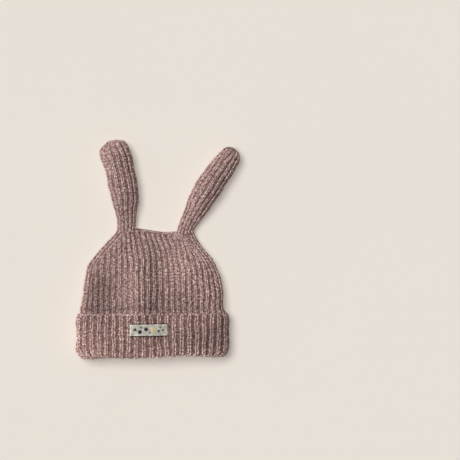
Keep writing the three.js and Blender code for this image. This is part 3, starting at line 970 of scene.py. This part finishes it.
def wool_material(name, wool, ground):
    """Heathered wool: light and dark fibres mixed by noise on Object coordinates, a lightness of its own
    for each stitch, painted shade in the ground's valleys, tinted redder, painted shade and painted light in
    soft patches, a bump of plies on the yarn, and a fine fibre bump."""
    add, dress, place = new_material(name)
    fleck = add("ShaderNodeTexNoise",
                {"Vector": place, "Scale": wool.fleck_scale, "Detail": 3.0, "Roughness": 0.6})
    patch = add("ShaderNodeTexNoise", {"Vector": place, "Scale": wool.patch_scale, "Detail": 2.0})
    heather = colour_ramp(add, fleck.outputs["Fac"], (0.375, wool.dark), (0.5, wool.middle),
                          (0.625, wool.light))
    shade = add("ShaderNodeAttribute", attribute_name="shade").outputs["Fac"]
    span = wool.ground_shade * np.array(VALLEY_TINT) - 1 if ground else np.full(3, 2 * wool.variation)
    start = np.ones(3) if ground else np.full(3, 1 - wool.variation)
    # For the yarn each stitch's own lightness; for the ground the painted shade of the valleys, tinted redder
    own = add("ShaderNodeVectorMath", {0: shade, 1: tuple(span), 2: tuple(start)}, operation="MULTIPLY_ADD")
    wide = add("ShaderNodeMapRange", {"Value": patch.outputs["Fac"], "From Min": 0.3, "From Max": 0.7,
                                      "To Min": 0.95, "To Max": 1.05})
    # Painted shade and painted light of the soft patches
    painted_shade_and_light = add("ShaderNodeAttribute", attribute_name="tone").outputs["Fac"]
    both = add("ShaderNodeMath", {0: painted_shade_and_light, 1: wide.outputs["Result"]}, operation="MULTIPLY")
    plain = add("ShaderNodeVectorMath", {0: heather, "Scale": both.outputs["Value"]}, operation="SCALE")
    colour = add("ShaderNodeVectorMath", {0: plain.outputs["Vector"], 1: own.outputs["Vector"]},
                 operation="MULTIPLY")
    fibre = add("ShaderNodeTexNoise", {"Vector": place, "Scale": wool.fibre_scale, "Detail": 4.0})
    height = fibre.outputs["Fac"] if ground else ply_height(add, fibre.outputs["Fac"])
    bump = add("ShaderNodeBump", {"Height": height, "Strength": 0.6, "Distance": 0.0004})
    dress({"Base Color": colour.outputs["Vector"], "Normal": bump.outputs["Normal"], "Roughness": 0.95,
           "Specular IOR Level": 0.2, "Sheen Weight": 0.35, "Sheen Roughness": 0.5,
           "Sheen Tint": (*wool.light, 1)})


def ply_height(add, fibre):
    """Height of two plies twisted round the yarn: a sine of twice the turn round it, shifted by the way
    along it, with the fibres' own height added."""
    yarn = add("ShaderNodeUVMap", uv_map="Yarn").outputs["UV"]
    parts = add("ShaderNodeSeparateXYZ", {"Vector": yarn})
    along = add("ShaderNodeMath", {0: parts.outputs["Y"], 1: PLY_TWIST}, operation="MULTIPLY")
    turn = add("ShaderNodeMath", {0: parts.outputs["X"], 1: along.outputs["Value"]}, operation="ADD")
    angle = add("ShaderNodeMath", {0: turn.outputs["Value"], 1: 4 * math.pi}, operation="MULTIPLY")
    plies = add("ShaderNodeMath", {0: angle.outputs["Value"]}, operation="SINE")
    return add("ShaderNodeMath", {0: plies.outputs["Value"], 1: PLY_HEIGHT, 2: fibre},
               operation="MULTIPLY_ADD").outputs["Value"]


def fuzz_material(wool):
    """Loose fibres, between the wool's middle and light colours by noise."""
    add, dress, place = new_material("wool_fuzz")
    noise = add("ShaderNodeTexNoise", {"Vector": place, "Scale": wool.patch_scale * FUZZ_PATCHES})
    colour = colour_ramp(add, noise.outputs["Fac"], (0.0, wool.middle), (1.0, wool.light))
    dress({"Base Color": colour, "Roughness": 0.9})


def tape_material(label):
    """Woven tape: crossing threads as a bump and a faint pattern, with a mottled colour and lighter rims."""
    add, dress, place = new_material("label_tape")
    warp = add("ShaderNodeTexWave", {"Vector": place, "Scale": WEAVE_SCALE}, bands_direction="X")
    weft = add("ShaderNodeTexWave", {"Vector": place, "Scale": WEAVE_SCALE}, bands_direction="Y")
    weave = add("ShaderNodeMath", {0: warp.outputs["Fac"], 1: weft.outputs["Fac"]}, operation="MULTIPLY")
    mottle = add("ShaderNodeTexNoise", {"Vector": place, "Scale": 260.0, "Detail": 3.0})
    level = add("ShaderNodeMath", {0: weave.outputs["Value"], 1: 0.35, 2: mottle.outputs["Fac"]},
                operation="MULTIPLY_ADD")
    cloth = colour_ramp(add, level.outputs["Value"], (0.35, label.shade_colour), (0.75, label.colour))
    edge = add("ShaderNodeAttribute", attribute_name="shade").outputs["Fac"]
    light = add("ShaderNodeMapRange", {"Value": edge, "To Min": 0.92, "To Max": 1.35})
    colour = add("ShaderNodeVectorMath", {0: cloth, "Scale": light.outputs["Result"]}, operation="SCALE")
    bump = add("ShaderNodeBump", {"Height": weave.outputs["Value"], "Strength": 0.5, "Distance": 0.0002})
    dress({"Base Color": colour.outputs["Vector"], "Normal": bump.outputs["Normal"], "Roughness": 0.7,
           "Sheen Weight": 0.1})


def thread_material(name, colour):
    """Embroidery thread in one dye, lighter and darker by noise along its strands."""
    add, dress, place = new_material(name)
    stretch = add("ShaderNodeMapping", {"Vector": place, "Scale": (400.0, 2600.0, 400.0)})
    strands = add("ShaderNodeTexNoise", {"Vector": stretch.outputs["Vector"], "Scale": 1.0})
    dyed = colour_ramp(add, strands.outputs["Fac"], (0.3, 0.6 * np.array(colour)), (0.7, colour))
    bump = add("ShaderNodeBump", {"Height": strands.outputs["Fac"], "Strength": 0.5, "Distance": 0.0001})
    dress({"Base Color": dyed, "Normal": bump.outputs["Normal"], "Roughness": 0.6})


def floor_material(stage):
    """Matt paper, with a barely uneven tone by noise."""
    add, dress, place = new_material("pale_floor")
    noise = add("ShaderNodeTexNoise", {"Vector": place, "Scale": 3.0})
    colour = colour_ramp(add, noise.outputs["Fac"], (0.0, 0.985 * np.array(stage.floor_colour)),
                         (1.0, stage.floor_colour))
    dress({"Base Color": colour, "Roughness": 0.9, "Specular IOR Level": 0.1})


# Settings

class HatYarn(bpy.types.PropertyGroup):
    """Sizes of the stitches"""

    course_height: FloatProperty(name="Course Height", description="Height of a row of stitches",
                                 default=0.0037, min=0.002, max=0.008, unit="LENGTH")
    leg_width: FloatProperty(name="Leg Width", description="Width of one leg of a stitch",
                             default=0.0021, min=0.001, max=0.005, unit="LENGTH")
    leg_depth: FloatProperty(name="Leg Depth", description="Thickness of one leg of a stitch",
                             default=0.0022, min=0.001, max=0.005, unit="LENGTH")
    arch: FloatProperty(name="Arch", description="How far a leg's middle stands above its ends",
                        default=0.0006, min=0.0, max=0.003, unit="LENGTH")
    fall: FloatProperty(name="Fall", description="How far a leg's upper end lies below its foot",
                        default=0.0008, min=0.0, max=0.003, unit="LENGTH")
    foot: FloatProperty(name="Foot", description="Distance of a leg's lower end from the middle, in ribs",
                        default=0.07, min=0.0, max=0.3)
    spread: FloatProperty(name="Spread", description="Distance of a leg's upper end from the middle, in ribs",
                          default=0.2, min=0.1, max=0.45)
    ground_depth: FloatProperty(name="Ground Depth", description="Depth of the ground below the crests",
                                default=0.0014, min=0.0005, max=0.003, unit="LENGTH")
    valley_depth: FloatProperty(name="Valley Depth", description="Further depth between two ribs",
                                default=0.0009, min=0.0, max=0.002, unit="LENGTH")
    purl_bump: FloatProperty(name="Purl Bump", description="Height of the bumps across a valley",
                             default=0.0006, min=0.0, max=0.002, unit="LENGTH")
    fuzz_count: IntProperty(name="Fuzz Count", description="Number of loose fibres",
                            default=7000, min=0, max=9000)
    fuzz_length: FloatProperty(name="Fuzz Length", description="Length of a loose fibre",
                               default=0.0035, min=0.0005, max=0.01, unit="LENGTH")
    fuzz_width: FloatProperty(name="Fuzz Width", description="Thickness of a loose fibre",
                              default=0.00009, min=0.00002, max=0.0005, unit="LENGTH")


class HatWool(bpy.types.PropertyGroup):
    """Colours of the wool"""

    dark: FloatVectorProperty(name="Dark", description="Darkest fibres", subtype="COLOR", size=3,
                              default=srgb(118, 89, 83), min=0, max=1)
    middle: FloatVectorProperty(name="Middle", description="Most fibres", subtype="COLOR", size=3,
                                default=srgb(158, 128, 122), min=0, max=1)
    light: FloatVectorProperty(name="Light", description="Lightest fibres", subtype="COLOR", size=3,
                               default=srgb(213, 188, 183), min=0, max=1)
    variation: FloatProperty(name="Variation", description="How much stitches differ in lightness",
                             default=0.11, min=0, max=0.5)
    # Painted shade: how light the ground between the ribs is painted, for the shade in the valleys
    ground_shade: FloatProperty(name="Ground Shade", description="Lightness of the ground between the ribs",
                                default=0.42, min=0, max=1)
    fleck_scale: FloatProperty(name="Fleck Scale", description="Flecks to a metre", default=500.0, min=1)
    patch_scale: FloatProperty(name="Patch Scale", description="Wide patches to a metre", default=28.0, min=1)
    fibre_scale: FloatProperty(name="Fibre Scale", description="Fibres to a metre", default=2600.0, min=1)


class HatLabel(bpy.types.PropertyGroup):
    """The label on the cuff"""

    thickness: FloatProperty(name="Thickness", description="Thickness of the tape", default=0.0007,
                             min=0.0002, max=0.001, unit="LENGTH")
    fold: FloatProperty(name="Fold", description="Length of tape folded under at each end", default=0.0045,
                        min=0.001, max=0.01, unit="LENGTH")
    colour: FloatVectorProperty(name="Colour", description="Lighter threads of the tape", subtype="COLOR",
                                size=3, default=srgb(205, 200, 188), min=0, max=1)
    shade_colour: FloatVectorProperty(name="Shade", description="Darker threads of the tape", subtype="COLOR",
                                      size=3, default=srgb(150, 147, 135), min=0, max=1)
    dark: FloatVectorProperty(name="Dark Motifs", description="Colour of the dark motifs", subtype="COLOR",
                              size=3, default=srgb(26, 23, 24), min=0, max=1)
    yellow: FloatVectorProperty(name="Pale Motif", description="Colour of the pale motif", subtype="COLOR",
                                size=3, default=srgb(222, 204, 150), min=0, max=1)
    # Near black: the sewing thread also stands for the painted shadow in the gap along the label's long edges
    sewing_and_edge_shadow: FloatVectorProperty(name="Sewing Thread", description="Colour of the thread that holds it",
                                subtype="COLOR", size=3, default=srgb(36, 30, 29), min=0, max=1)


class HatStage(bpy.types.PropertyGroup):
    """Floor, light and camera"""

    floor_colour: FloatVectorProperty(name="Floor", description="Colour of the floor", subtype="COLOR",
                                      size=3, default=srgb(231, 224, 214), min=0, max=1)
    key_strength: FloatProperty(name="Key Strength", description="Strength of the sun from the upper left",
                                default=1.81, min=0)
    side_strength: FloatProperty(name="Side Strength", description="Strength of the low light from the left",
                                 default=3.3, min=0)
    key_spread: FloatProperty(name="Key Spread", description="How wide the sun is on the sky: softer shadows",
                              default=math.radians(32), min=0, subtype="ANGLE")
    sky_strength: FloatProperty(name="Sky Strength", description="Strength of the light from all round",
                                default=0.1, min=0)
    camera_height: FloatProperty(name="Camera Height", description="Height of the camera above the floor",
                                 default=2.0, min=0.5, max=5, unit="LENGTH")


# Pieces

class HAT_OT_crown(bpy.types.Operator):
    """Knits the crown: a ribbed bag, open at the mouth and closed by the seam between the ears"""

    bl_idname = "hat.crown"
    bl_label = "Crown"

    def execute(self, context):
        yarn = context.scene.hat_yarn
        face = crown_face(yarn.course_height)
        crown = crown_ground(face, yarn)
        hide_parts("crown")
        rng = np.random.default_rng(SEEDS["crown"])
        top = int(face.courses[-1])
        halves = {"front": np.arange(RIBS_ACROSS), "back": np.arange(RIBS_ACROSS, RIBS_ROUND)}
        for side, wales in halves.items():
            legs = stitch_legs(face, wales, CROWN_CREST, CROWN_FIRST_ROW, top, LEAST_WALE, yarn, rng)
            yarn_piece("crown_stitches_" + side, legs)
        yarn_piece("crown_seam", seam_chain(face, yarn, rng))
        return {"FINISHED"}


def crown_ground(face, yarn):
    """The crown's wall: outside the rib ground from the mouth to the seam, rounded over the top, and
    inside a skin up to the top of the hollow, whose ribs follow a cosine."""
    wales = np.arange(RIBS_ROUND * GROUND_PER_WALE) / GROUND_PER_WALE
    mouth = 2 * FOLD_RADIUS + CLEARANCE
    hidden = np.linspace(mouth, CUFF_HEIGHT - FACE_BELOW_EDGE * yarn.course_height, HIDDEN_ROWS)[:-1]
    low = settle(body_points(hidden, yarn.ground_depth, wales)) + ORIGIN
    outside, deep = rib_ground(face, CROWN_CREST, wales, face.courses, yarn)
    rounding = np.array(TOP_ROUNDING)
    top = settle(body_points(BODY_HEIGHT + 0 * rounding, yarn.ground_depth + 2 * rounding, wales)) + ORIGIN
    top[..., 1] += rounding[:, None]
    inner_y = np.linspace(mouth, BODY_HEIGHT - SEAM_DEPTH, INNER_ROWS)
    inward = Knit(settle(body_points(inner_y, CROWN_CLOTH, wales)), inner_y, RIBS_ROUND)
    wale, height = np.meshgrid(wales, inner_y)
    rib = INNER_RIB * (1 - np.cos(2 * math.pi * (wale - CROWN_CREST))) / 2
    inside = inward.at(wale, height, rib)
    grid = np.concatenate([inside[::-1], low, outside, top])
    # Painted shade in the valleys of the outside, and none on the other rings
    deep = np.concatenate([0 * inside[..., 0], 0 * low[..., 0], deep, 0 * top[..., 0]])
    return closed_piece("crown_cloth", grid, False, "wool_ground", "wool", CROWN_GROOVES * deep)


def seam_chain(face, yarn, rng):
    """The seam across the crown's top: slanting legs along its front and back edge, from neck to neck. Each
    goes straight from a little before its wale to a little after it, and up towards the seam."""
    top = face.courses[-1]
    width = yarn.leg_width * SEAM_YARN
    depth = yarn.leg_depth * SEAM_YARN
    sets = []
    for low, high in ((SEAM_FIRST, SEAM_LAST), (RIBS_ROUND - SEAM_LAST, RIBS_ROUND - SEAM_FIRST)):
        wale = np.arange(low, high, SEAM_EVERY)
        start = (wale - SEAM_HALF, np.full(len(wale), top - SEAM_START))
        end = (wale + SEAM_HALF, np.full(len(wale), top - SEAM_END))
        sets.append(spindles(face, start, end, width, depth, yarn.arch / 2, rng, EDGE_SPANS))
    return join(sets)


class HAT_OT_cuff(bpy.types.Operator):
    """Knits the cuff: a band turned up round the crown's mouth, with a rounded fold at the hem"""

    bl_idname = "hat.cuff"
    bl_label = "Cuff"

    def execute(self, context):
        yarn = context.scene.hat_yarn
        face = cuff_face(yarn.course_height)
        wales = np.arange(face.wales * GROUND_PER_WALE) / GROUND_PER_WALE
        outside, deep = rib_ground(face, CUFF_CREST, wales, face.courses, yarn)
        lining = [[CLEARANCE + LIP_RADIUS / 2, CUFF_HEIGHT - LIP_RADIUS],
                  *([CLEARANCE, CUFF_HEIGHT * share] for share in LINING_ROWS),
                  [CLEARANCE, 2 * FOLD_RADIUS]]
        out, up = np.array(lining).T
        inside = settle(body_points(up, -out, wales, CUFF_RIBS_ACROSS)) + ORIGIN
        grid = np.concatenate([outside, inside])
        # Painted shade in the valleys of the outside, and none on the lining
        deep = np.concatenate([CUFF_GROOVES * deep, 0 * inside[..., 0]])
        cuff = closed_piece("cuff_cloth", grid, True, "wool_ground", "wool", deep)
        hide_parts("cuff")
        rng = np.random.default_rng(SEEDS["cuff"])
        last = face.courses[-1] - CUFF_LAST_BELOW
        legs = stitch_legs(face, np.arange(face.wales), CUFF_CREST, CUFF_FIRST_ROW, int(last) + 1, LEAST_WALE,
                           yarn, rng, last % 1, CUFF_WIDEN)
        yarn_piece("cuff_stitches", legs)
        yarn_piece("cuff_edge", cast_on(face, yarn, rng))
        return {"FINISHED"}


def cast_on(face, yarn, rng):
    """The cuff's top edge: two loops over the rounded end of each rib, and one across each valley. Each is
    a spindle from half a width before its middle to half a width after it."""
    edge = face.courses[-1]
    sets = []
    for loop in EDGE_LOOPS:
        wale = np.arange(face.wales) + CUFF_CREST + loop["middle"] + rng.normal(0, LOOPS_ASIDE, face.wales)
        down = edge - loop["down"]
        start = (wale - loop["half"], down + rng.normal(0, LOOPS_ALONG, face.wales))
        end = (wale + loop["half"], down + rng.normal(0, LOOPS_ALONG, face.wales))
        width = yarn.leg_width * loop["yarn"]
        depth = yarn.leg_depth * loop["yarn"]
        sets.append(spindles(face, start, end, width, depth, yarn.arch, rng, EDGE_SPANS))
    return join(sets)


class HAT_OT_ears(bpy.types.Operator):
    """Knits the two padded ears, from their necks on the crown's corners to their closed tips"""

    bl_idname = "hat.ears"
    bl_label = "Ears"

    def execute(self, context):
        yarn = context.scene.hat_yarn
        wales = np.arange(EAR_RIBS * EAR_GROUND_PER_WALE) / EAR_GROUND_PER_WALE
        for name, ear in EARS.items():
            face = ear_face(*ear, yarn.course_height)
            outside, deep = rib_ground(face, CROWN_CREST, wales, face.courses, yarn)
            grid = np.concatenate([closing_ring(outside[:1]), outside, closing_ring(outside[-1:])])
            # Painted shade in the valleys, repeated on the rings that close the ends
            deep = np.concatenate([deep[:1], deep, deep[-1:]])
            piece = closed_piece(name + "_cloth", grid, False, "wool_ground", "wool", EAR_GROOVES * deep)
            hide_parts(name)
            rng = np.random.default_rng(SEEDS[name])
            legs = stitch_legs(face, np.arange(EAR_RIBS), CROWN_CREST, EAR_FIRST_ROW, int(face.courses[-1]),
                               LEAST_EAR_WALE, yarn, rng)
            yarn_piece(name + "_stitches", legs)
        return {"FINISHED"}


def closing_ring(ring):
    """A small ring inside another: its points mixed from the middle and the other's points."""
    return mix(ring.mean(axis=1, keepdims=True), ring, END_RING)


class HAT_OT_fuzz(bpy.types.Operator):
    """Scatters loose fibres over the hat"""

    bl_idname = "hat.fuzz"
    bl_label = "Fuzz"

    def execute(self, context):
        yarn = context.scene.hat_yarn
        rng = np.random.default_rng(SEEDS["fuzz"])
        faces = {"crown": crown_face(yarn.course_height), "cuff": cuff_face(yarn.course_height)}
        for name, ear in EARS.items():
            faces[name] = ear_face(*ear, yarn.course_height)
        sets = [fibres(faces[name], int(yarn.fuzz_count * share), yarn, rng)
                for name, share in FIBRE_SHARES.items()]
        yarn_piece("fuzz", join(sets), "wool_fuzz")
        return {"FINISHED"}


def fibres(face, count, yarn, rng):
    """Loose fibres: thin three-sided tubes that leave the face, bend over and taper. Each middle line is
    a parabola from a random place, out of the cloth and sideways by random amounts."""
    wale = rng.uniform(0, face.wales, count)
    course = rng.uniform(face.courses[0] + 1, face.courses[-1], count)
    root = face.at(wale, course, -FIBRE_ROOT)[:, None, :]
    out = face.outward(wale, course)
    side = rng.normal(size=(count, 3))
    side = unit(side - out * np.sum(side * out, axis=1, keepdims=True))[:, None, :]
    out = out[:, None, :]
    length = yarn.fuzz_length * rng.uniform(*FIBRE_LENGTHS, (count, 1, 1))
    rise = rng.uniform(*FIBRE_RISES, (count, 1, 1))
    t = np.linspace(0, 1, FIBRE_SPANS + 1)[None, :, None]
    centre = root + length * (side * t + out * rise * (2 * t - t * t))
    along = unit(np.gradient(centre, axis=1))
    across = unit(np.cross(along, out))
    over = np.cross(across, along)
    radius = yarn.fuzz_width / 2 * (1 - FIBRE_TAPER * t[..., 0])
    return tubes(centre, across, over, radius, radius, FIBRE_SIDES, rng.random(count))


class HAT_OT_label(bpy.types.Operator):
    """Sews the label on the cuff: a woven tape with folded ends, tacked down, with a few plain shapes"""

    bl_idname = "hat.label"
    bl_label = "Label"

    def execute(self, context):
        label = context.scene.hat_label
        tape = label_tape(label)
        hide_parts("label")
        label_motifs(label)
        label_tacks(label)
        return {"FINISHED"}


def label_height(across, up):
    """Points just under the label, in the frame: the cuff's face at that place, unribbed, with the tape
    sagging a little between the ribs by a cosine."""
    x, z, _ = sections(np.zeros(1), 1, -CUFF_WALL)
    height = np.interp(across, x[0], z[0]) + CLEARANCE
    wave = CUFF_WIDTH / RIBS_ACROSS * TAPE_SAG_WAVE
    sag = TAPE_SAG * np.cos(2 * math.pi * across / wave)
    return settle(np.stack([across, up, height + sag], axis=-1)) + ORIGIN


def label_place(s, t, lift):
    """A place on the label: s from -1 to 1 along it, t from -1 to 1 up it, lift above its underside."""
    across = LABEL_ACROSS + s * LABEL_WIDTH / 2
    up = CUFF_HEIGHT - LABEL_BELOW_EDGE - LABEL_HEIGHT / 2 - TAPE_DROP + t * TAPE_HEIGHT / 2
    points = label_height(across, up)
    points[..., 2] += lift
    return points


def label_tape(label):
    """The tape as a closed ribbon: its profile runs along the top, turns a half circle down at the end,
    comes back underneath as the folded end, and so round the other end, carried across the tape."""
    thick = label.thickness
    half = LABEL_WIDTH / 2
    inner = half - label.fold
    bend = np.radians(np.linspace(90, -90, TAPE_BEND_STEPS))
    radius = thick / 2
    top = np.linspace(-half + thick, half - thick, TAPE_STEPS)
    right = np.stack([half - radius + radius * np.cos(bend), radius * np.sin(bend) + radius], axis=1)
    lifted = thick * UNDERSIDE_LIFT
    under = np.array([[half - thick, 0.0], [inner, 0.0], [inner - thick, lifted],
                      [-inner + thick, lifted], [-inner, 0.0], [-half + thick, 0.0]])
    left = right[::-1] * [-1, 1]
    profile = np.concatenate([np.stack([top, 0 * top + thick], axis=1), right[1:], under, left[:-1]])
    s, t = np.meshgrid(profile[:, 0] / half, np.linspace(-1, 1, TAPE_CROSS_STEPS))
    grid = label_place(s, t, profile[:, 1] * (1 - RIM_THINNER * np.abs(t) ** RIM_POWER))
    edge = np.maximum(smoothstep(np.abs(t), *LONG_RIM), smoothstep(np.abs(s), *END_RIM))
    return closed_piece("label_tape", grid, False, "label_tape", "tape", edge)


# Plain shapes on the label: s is a share of half the tape's length, t and the radius are shares of half its
# height. Then a number of corners (many for a round one), a turn in degrees, and whether it is the pale one
MOTIFS = [
    {"s": -0.74, "t": 0.1, "radius": 0.42, "corners": 3, "turn": 90, "pale": False},
    {"s": -0.47, "t": -0.3, "radius": 0.34, "corners": 24, "turn": 0, "pale": False},
    {"s": -0.42, "t": 0.45, "radius": 0.15, "corners": 24, "turn": 0, "pale": False},
    {"s": -0.16, "t": 0.16, "radius": 0.42, "corners": 4, "turn": 0, "pale": False},
    {"s": 0.04, "t": -0.45, "radius": 0.15, "corners": 24, "turn": 0, "pale": False},
    {"s": 0.24, "t": 0.12, "radius": 0.46, "corners": 24, "turn": 0, "pale": True},
    {"s": 0.52, "t": -0.2, "radius": 0.34, "corners": 3, "turn": -90, "pale": False},
    {"s": 0.6, "t": 0.46, "radius": 0.14, "corners": 24, "turn": 0, "pale": False},
    {"s": 0.76, "t": 0.0, "radius": 0.22, "corners": 4, "turn": 45, "pale": False},
]
MOTIF_POINTS = 24

# Rings of a motif, from under its rim to its top: sizes, and heights above the tape
MOTIF_RINGS = [(1.0, -0.0002), (1.0, 0.0001), (0.85, 0.0002), (0.5, 0.0002), (0.1, 0.0002)]


def label_motifs(label):
    """Each motif is a low patch of embroidery: rings of a round or a polygon, whose distance from the
    middle is cos(half a side's angle) over the cosine of the angle from the side's middle."""
    aspect = TAPE_HEIGHT / LABEL_WIDTH
    count = MOTIF_POINTS
    rings = len(MOTIF_RINGS)
    quads = band(rings, count)
    turn = 2 * math.pi * np.arange(count) / count
    for pale, name in ((False, "label_motifs_dark"), (True, "label_motif_pale")):
        points = []
        corners = []
        sizes = []
        for motif in (m for m in MOTIFS if m["pale"] == pale):
            side = 2 * math.pi / motif["corners"]
            reach = motif["radius"] * math.cos(side / 2) / np.cos(turn % side - side / 2)
            way = turn + math.radians(motif["turn"])
            first = len(points) * count
            last = first + (rings - 1) * count
            for grow, rise in MOTIF_RINGS:
                s = motif["s"] + reach * grow * aspect * np.cos(way)
                t = motif["t"] + reach * grow * np.sin(way)
                points.append(label_place(s, t, label.thickness + rise))
            corners += [first + quads.ravel(), first + np.arange(count)[::-1], last + np.arange(count)]
            sizes += [np.full(len(quads), 4), np.array([count, count])]
        piece = mesh_piece(name, np.concatenate(points), np.concatenate(corners), np.concatenate(sizes),
                           "thread_pale" if pale else "thread_dark", "tape")
        piece.data.polygons.foreach_set("use_smooth", np.zeros(len(piece.data.polygons), bool))


def label_tacks(label):
    """The thread that sews the label down: a line of short stitches close beside each long edge, whose dark
    thread also stands for the painted shadow there. Each is a round tube that lifts by a half sine, and
    swells by it to twice the radius of its ends."""
    s = np.tile(np.linspace(-TACK_ALONG, TACK_ALONG, TACKS), 2)[:, None]
    t = np.repeat([-TACK_OUT, TACK_OUT], TACKS)[:, None]
    v = np.linspace(0, 1, TACK_SPANS + 1)[None, :]
    bow = np.sin(math.pi * v)
    centre = label_place(s + TACK_HALF * (2 * v - 1), t + 0 * v, label.thickness * TACK_LIFT + TACK_BOW * bow)
    up = np.broadcast_to([0, 1.0, 0], centre.shape)
    out = np.broadcast_to([0, 0, 1.0], centre.shape)
    radius = TACK_RADIUS * (0.5 + 0.5 * bow)
    tacks = tubes(centre, up, out, radius, radius, TACK_SIDES, np.full(len(s), 0.5))
    yarn_piece("label_tacks", tacks, "thread_sewing_and_shadow", "tape")


class HAT_OT_materials(bpy.types.Operator):
    """Makes the wool, tape, thread and floor"""

    bl_idname = "hat.materials"
    bl_label = "Materials"

    def execute(self, context):
        wool = context.scene.hat_wool
        label = context.scene.hat_label
        wool_material("wool_yarn", wool, False)
        wool_material("wool_ground", wool, True)
        fuzz_material(wool)
        tape_material(label)
        thread_material("thread_dark", label.dark)
        thread_material("thread_pale", label.yellow)
        # Sewing thread that also serves as painted shadow beside the label's long edges
        thread_material("thread_sewing_and_shadow", label.sewing_and_edge_shadow)
        floor_material(context.scene.hat_stage)
        return {"FINISHED"}


class HAT_OT_stage(bpy.types.Operator):
    """Lays the floor, hangs the lights and sets the camera straight above"""

    bl_idname = "hat.stage"
    bl_label = "Stage"

    def execute(self, context):
        stage = context.scene.hat_stage
        scene = context.scene
        floor_mesh = bpy.data.meshes.new("floor")
        corners = [(-FLOOR_REACH, -FLOOR_REACH, 0), (FLOOR_REACH, -FLOOR_REACH, 0),
                   (FLOOR_REACH, FLOOR_REACH, 0), (-FLOOR_REACH, FLOOR_REACH, 0)]
        floor_mesh.from_pydata(corners, [], [(0, 1, 2, 3)])
        floor_mesh.materials.append(bpy.data.materials["pale_floor"])
        floor = bpy.data.objects.new("floor", floor_mesh)
        scene.collection.objects.link(floor)
        middle = IMAGE_PIXELS / 2
        aim = ORIGIN + np.array([(middle - CUFF_MIDDLE_PIXEL) * PIXEL, (HEM_PIXEL - middle) * PIXEL, 0])
        camera = bpy.data.cameras.new("camera")
        camera.sensor_fit = "HORIZONTAL"
        seen = stage.camera_height - SIDE_FOLD_HEIGHT
        camera.angle = 2 * math.atan(IMAGE_PIXELS * PIXEL / 2 / seen)
        camera_object = bpy.data.objects.new("camera", camera)
        camera_object.location = (aim[0], aim[1], stage.camera_height)
        scene.collection.objects.link(camera_object)
        scene.camera = camera_object
        sun_light("key_light", KEY_WAY, stage.key_strength, stage.key_spread)
        side = sun_light("side_light", SIDE_WAY, stage.side_strength, stage.key_spread)
        side.data.use_shadow = False
        world = bpy.data.worlds.new("sky")
        world.use_nodes = True
        sky = world.node_tree.nodes["Background"]
        sky.inputs["Color"].default_value = (1.0, 1.0, 1.0, 1)
        sky.inputs["Strength"].default_value = stage.sky_strength
        scene.world = world
        scene.view_settings.view_transform = "Standard"
        return {"FINISHED"}


def sun_light(name, way, strength, spread):
    """A sun that shines from a direction on the middle of the hat, as wide as spread on the sky."""
    light = bpy.data.lights.new(name, "SUN")
    light.energy = strength
    light.angle = spread
    lamp = bpy.data.objects.new(name, light)
    away = np.array(way) / np.linalg.norm(way)
    lamp.location = away * 2
    lamp.rotation_euler = (math.acos(away[2]), 0, math.atan2(away[1], away[0]) + math.pi / 2)
    bpy.context.scene.collection.objects.link(lamp)
    return lamp


class HAT_PT_panel(bpy.types.Panel):
    """Lists the hat's pieces"""

    bl_label = "Knit Hat"
    bl_idname = "HAT_PT_panel"
    bl_space_type = "VIEW_3D"
    bl_region_type = "UI"
    bl_category = "Knit Hat"

    def draw(self, context):
        for operator in OPERATORS:
            self.layout.operator(operator.bl_idname)
        for group, owner in SETTINGS.items():
            box = self.layout.box()
            for name in owner.__annotations__:
                box.prop(getattr(context.scene, group), name)


SETTINGS = {"hat_yarn": HatYarn, "hat_wool": HatWool, "hat_label": HatLabel, "hat_stage": HatStage}
OPERATORS = (HAT_OT_materials, HAT_OT_stage, HAT_OT_crown, HAT_OT_cuff, HAT_OT_ears, HAT_OT_label,
             HAT_OT_fuzz)
CLASSES = (*SETTINGS.values(), *OPERATORS, HAT_PT_panel)


def register():
    """Registers the classes, and hangs each group of settings on the scene."""
    for cls in CLASSES:
        bpy.utils.register_class(cls)
    for name, group in SETTINGS.items():
        setattr(bpy.types.Scene, name, PointerProperty(type=group))


def unregister():
    """Takes off what register put on."""
    for name in SETTINGS:
        delattr(bpy.types.Scene, name)
    for cls in reversed(CLASSES):
        bpy.utils.unregister_class(cls)


def main():
    """Makes the whole hat."""
    register()
    bpy.ops.hat.materials()
    bpy.ops.hat.stage()
    bpy.ops.hat.crown()
    bpy.ops.hat.cuff()
    bpy.ops.hat.ears()
    bpy.ops.hat.label()
    bpy.ops.hat.fuzz()


if __name__ == "__main__":
    main()
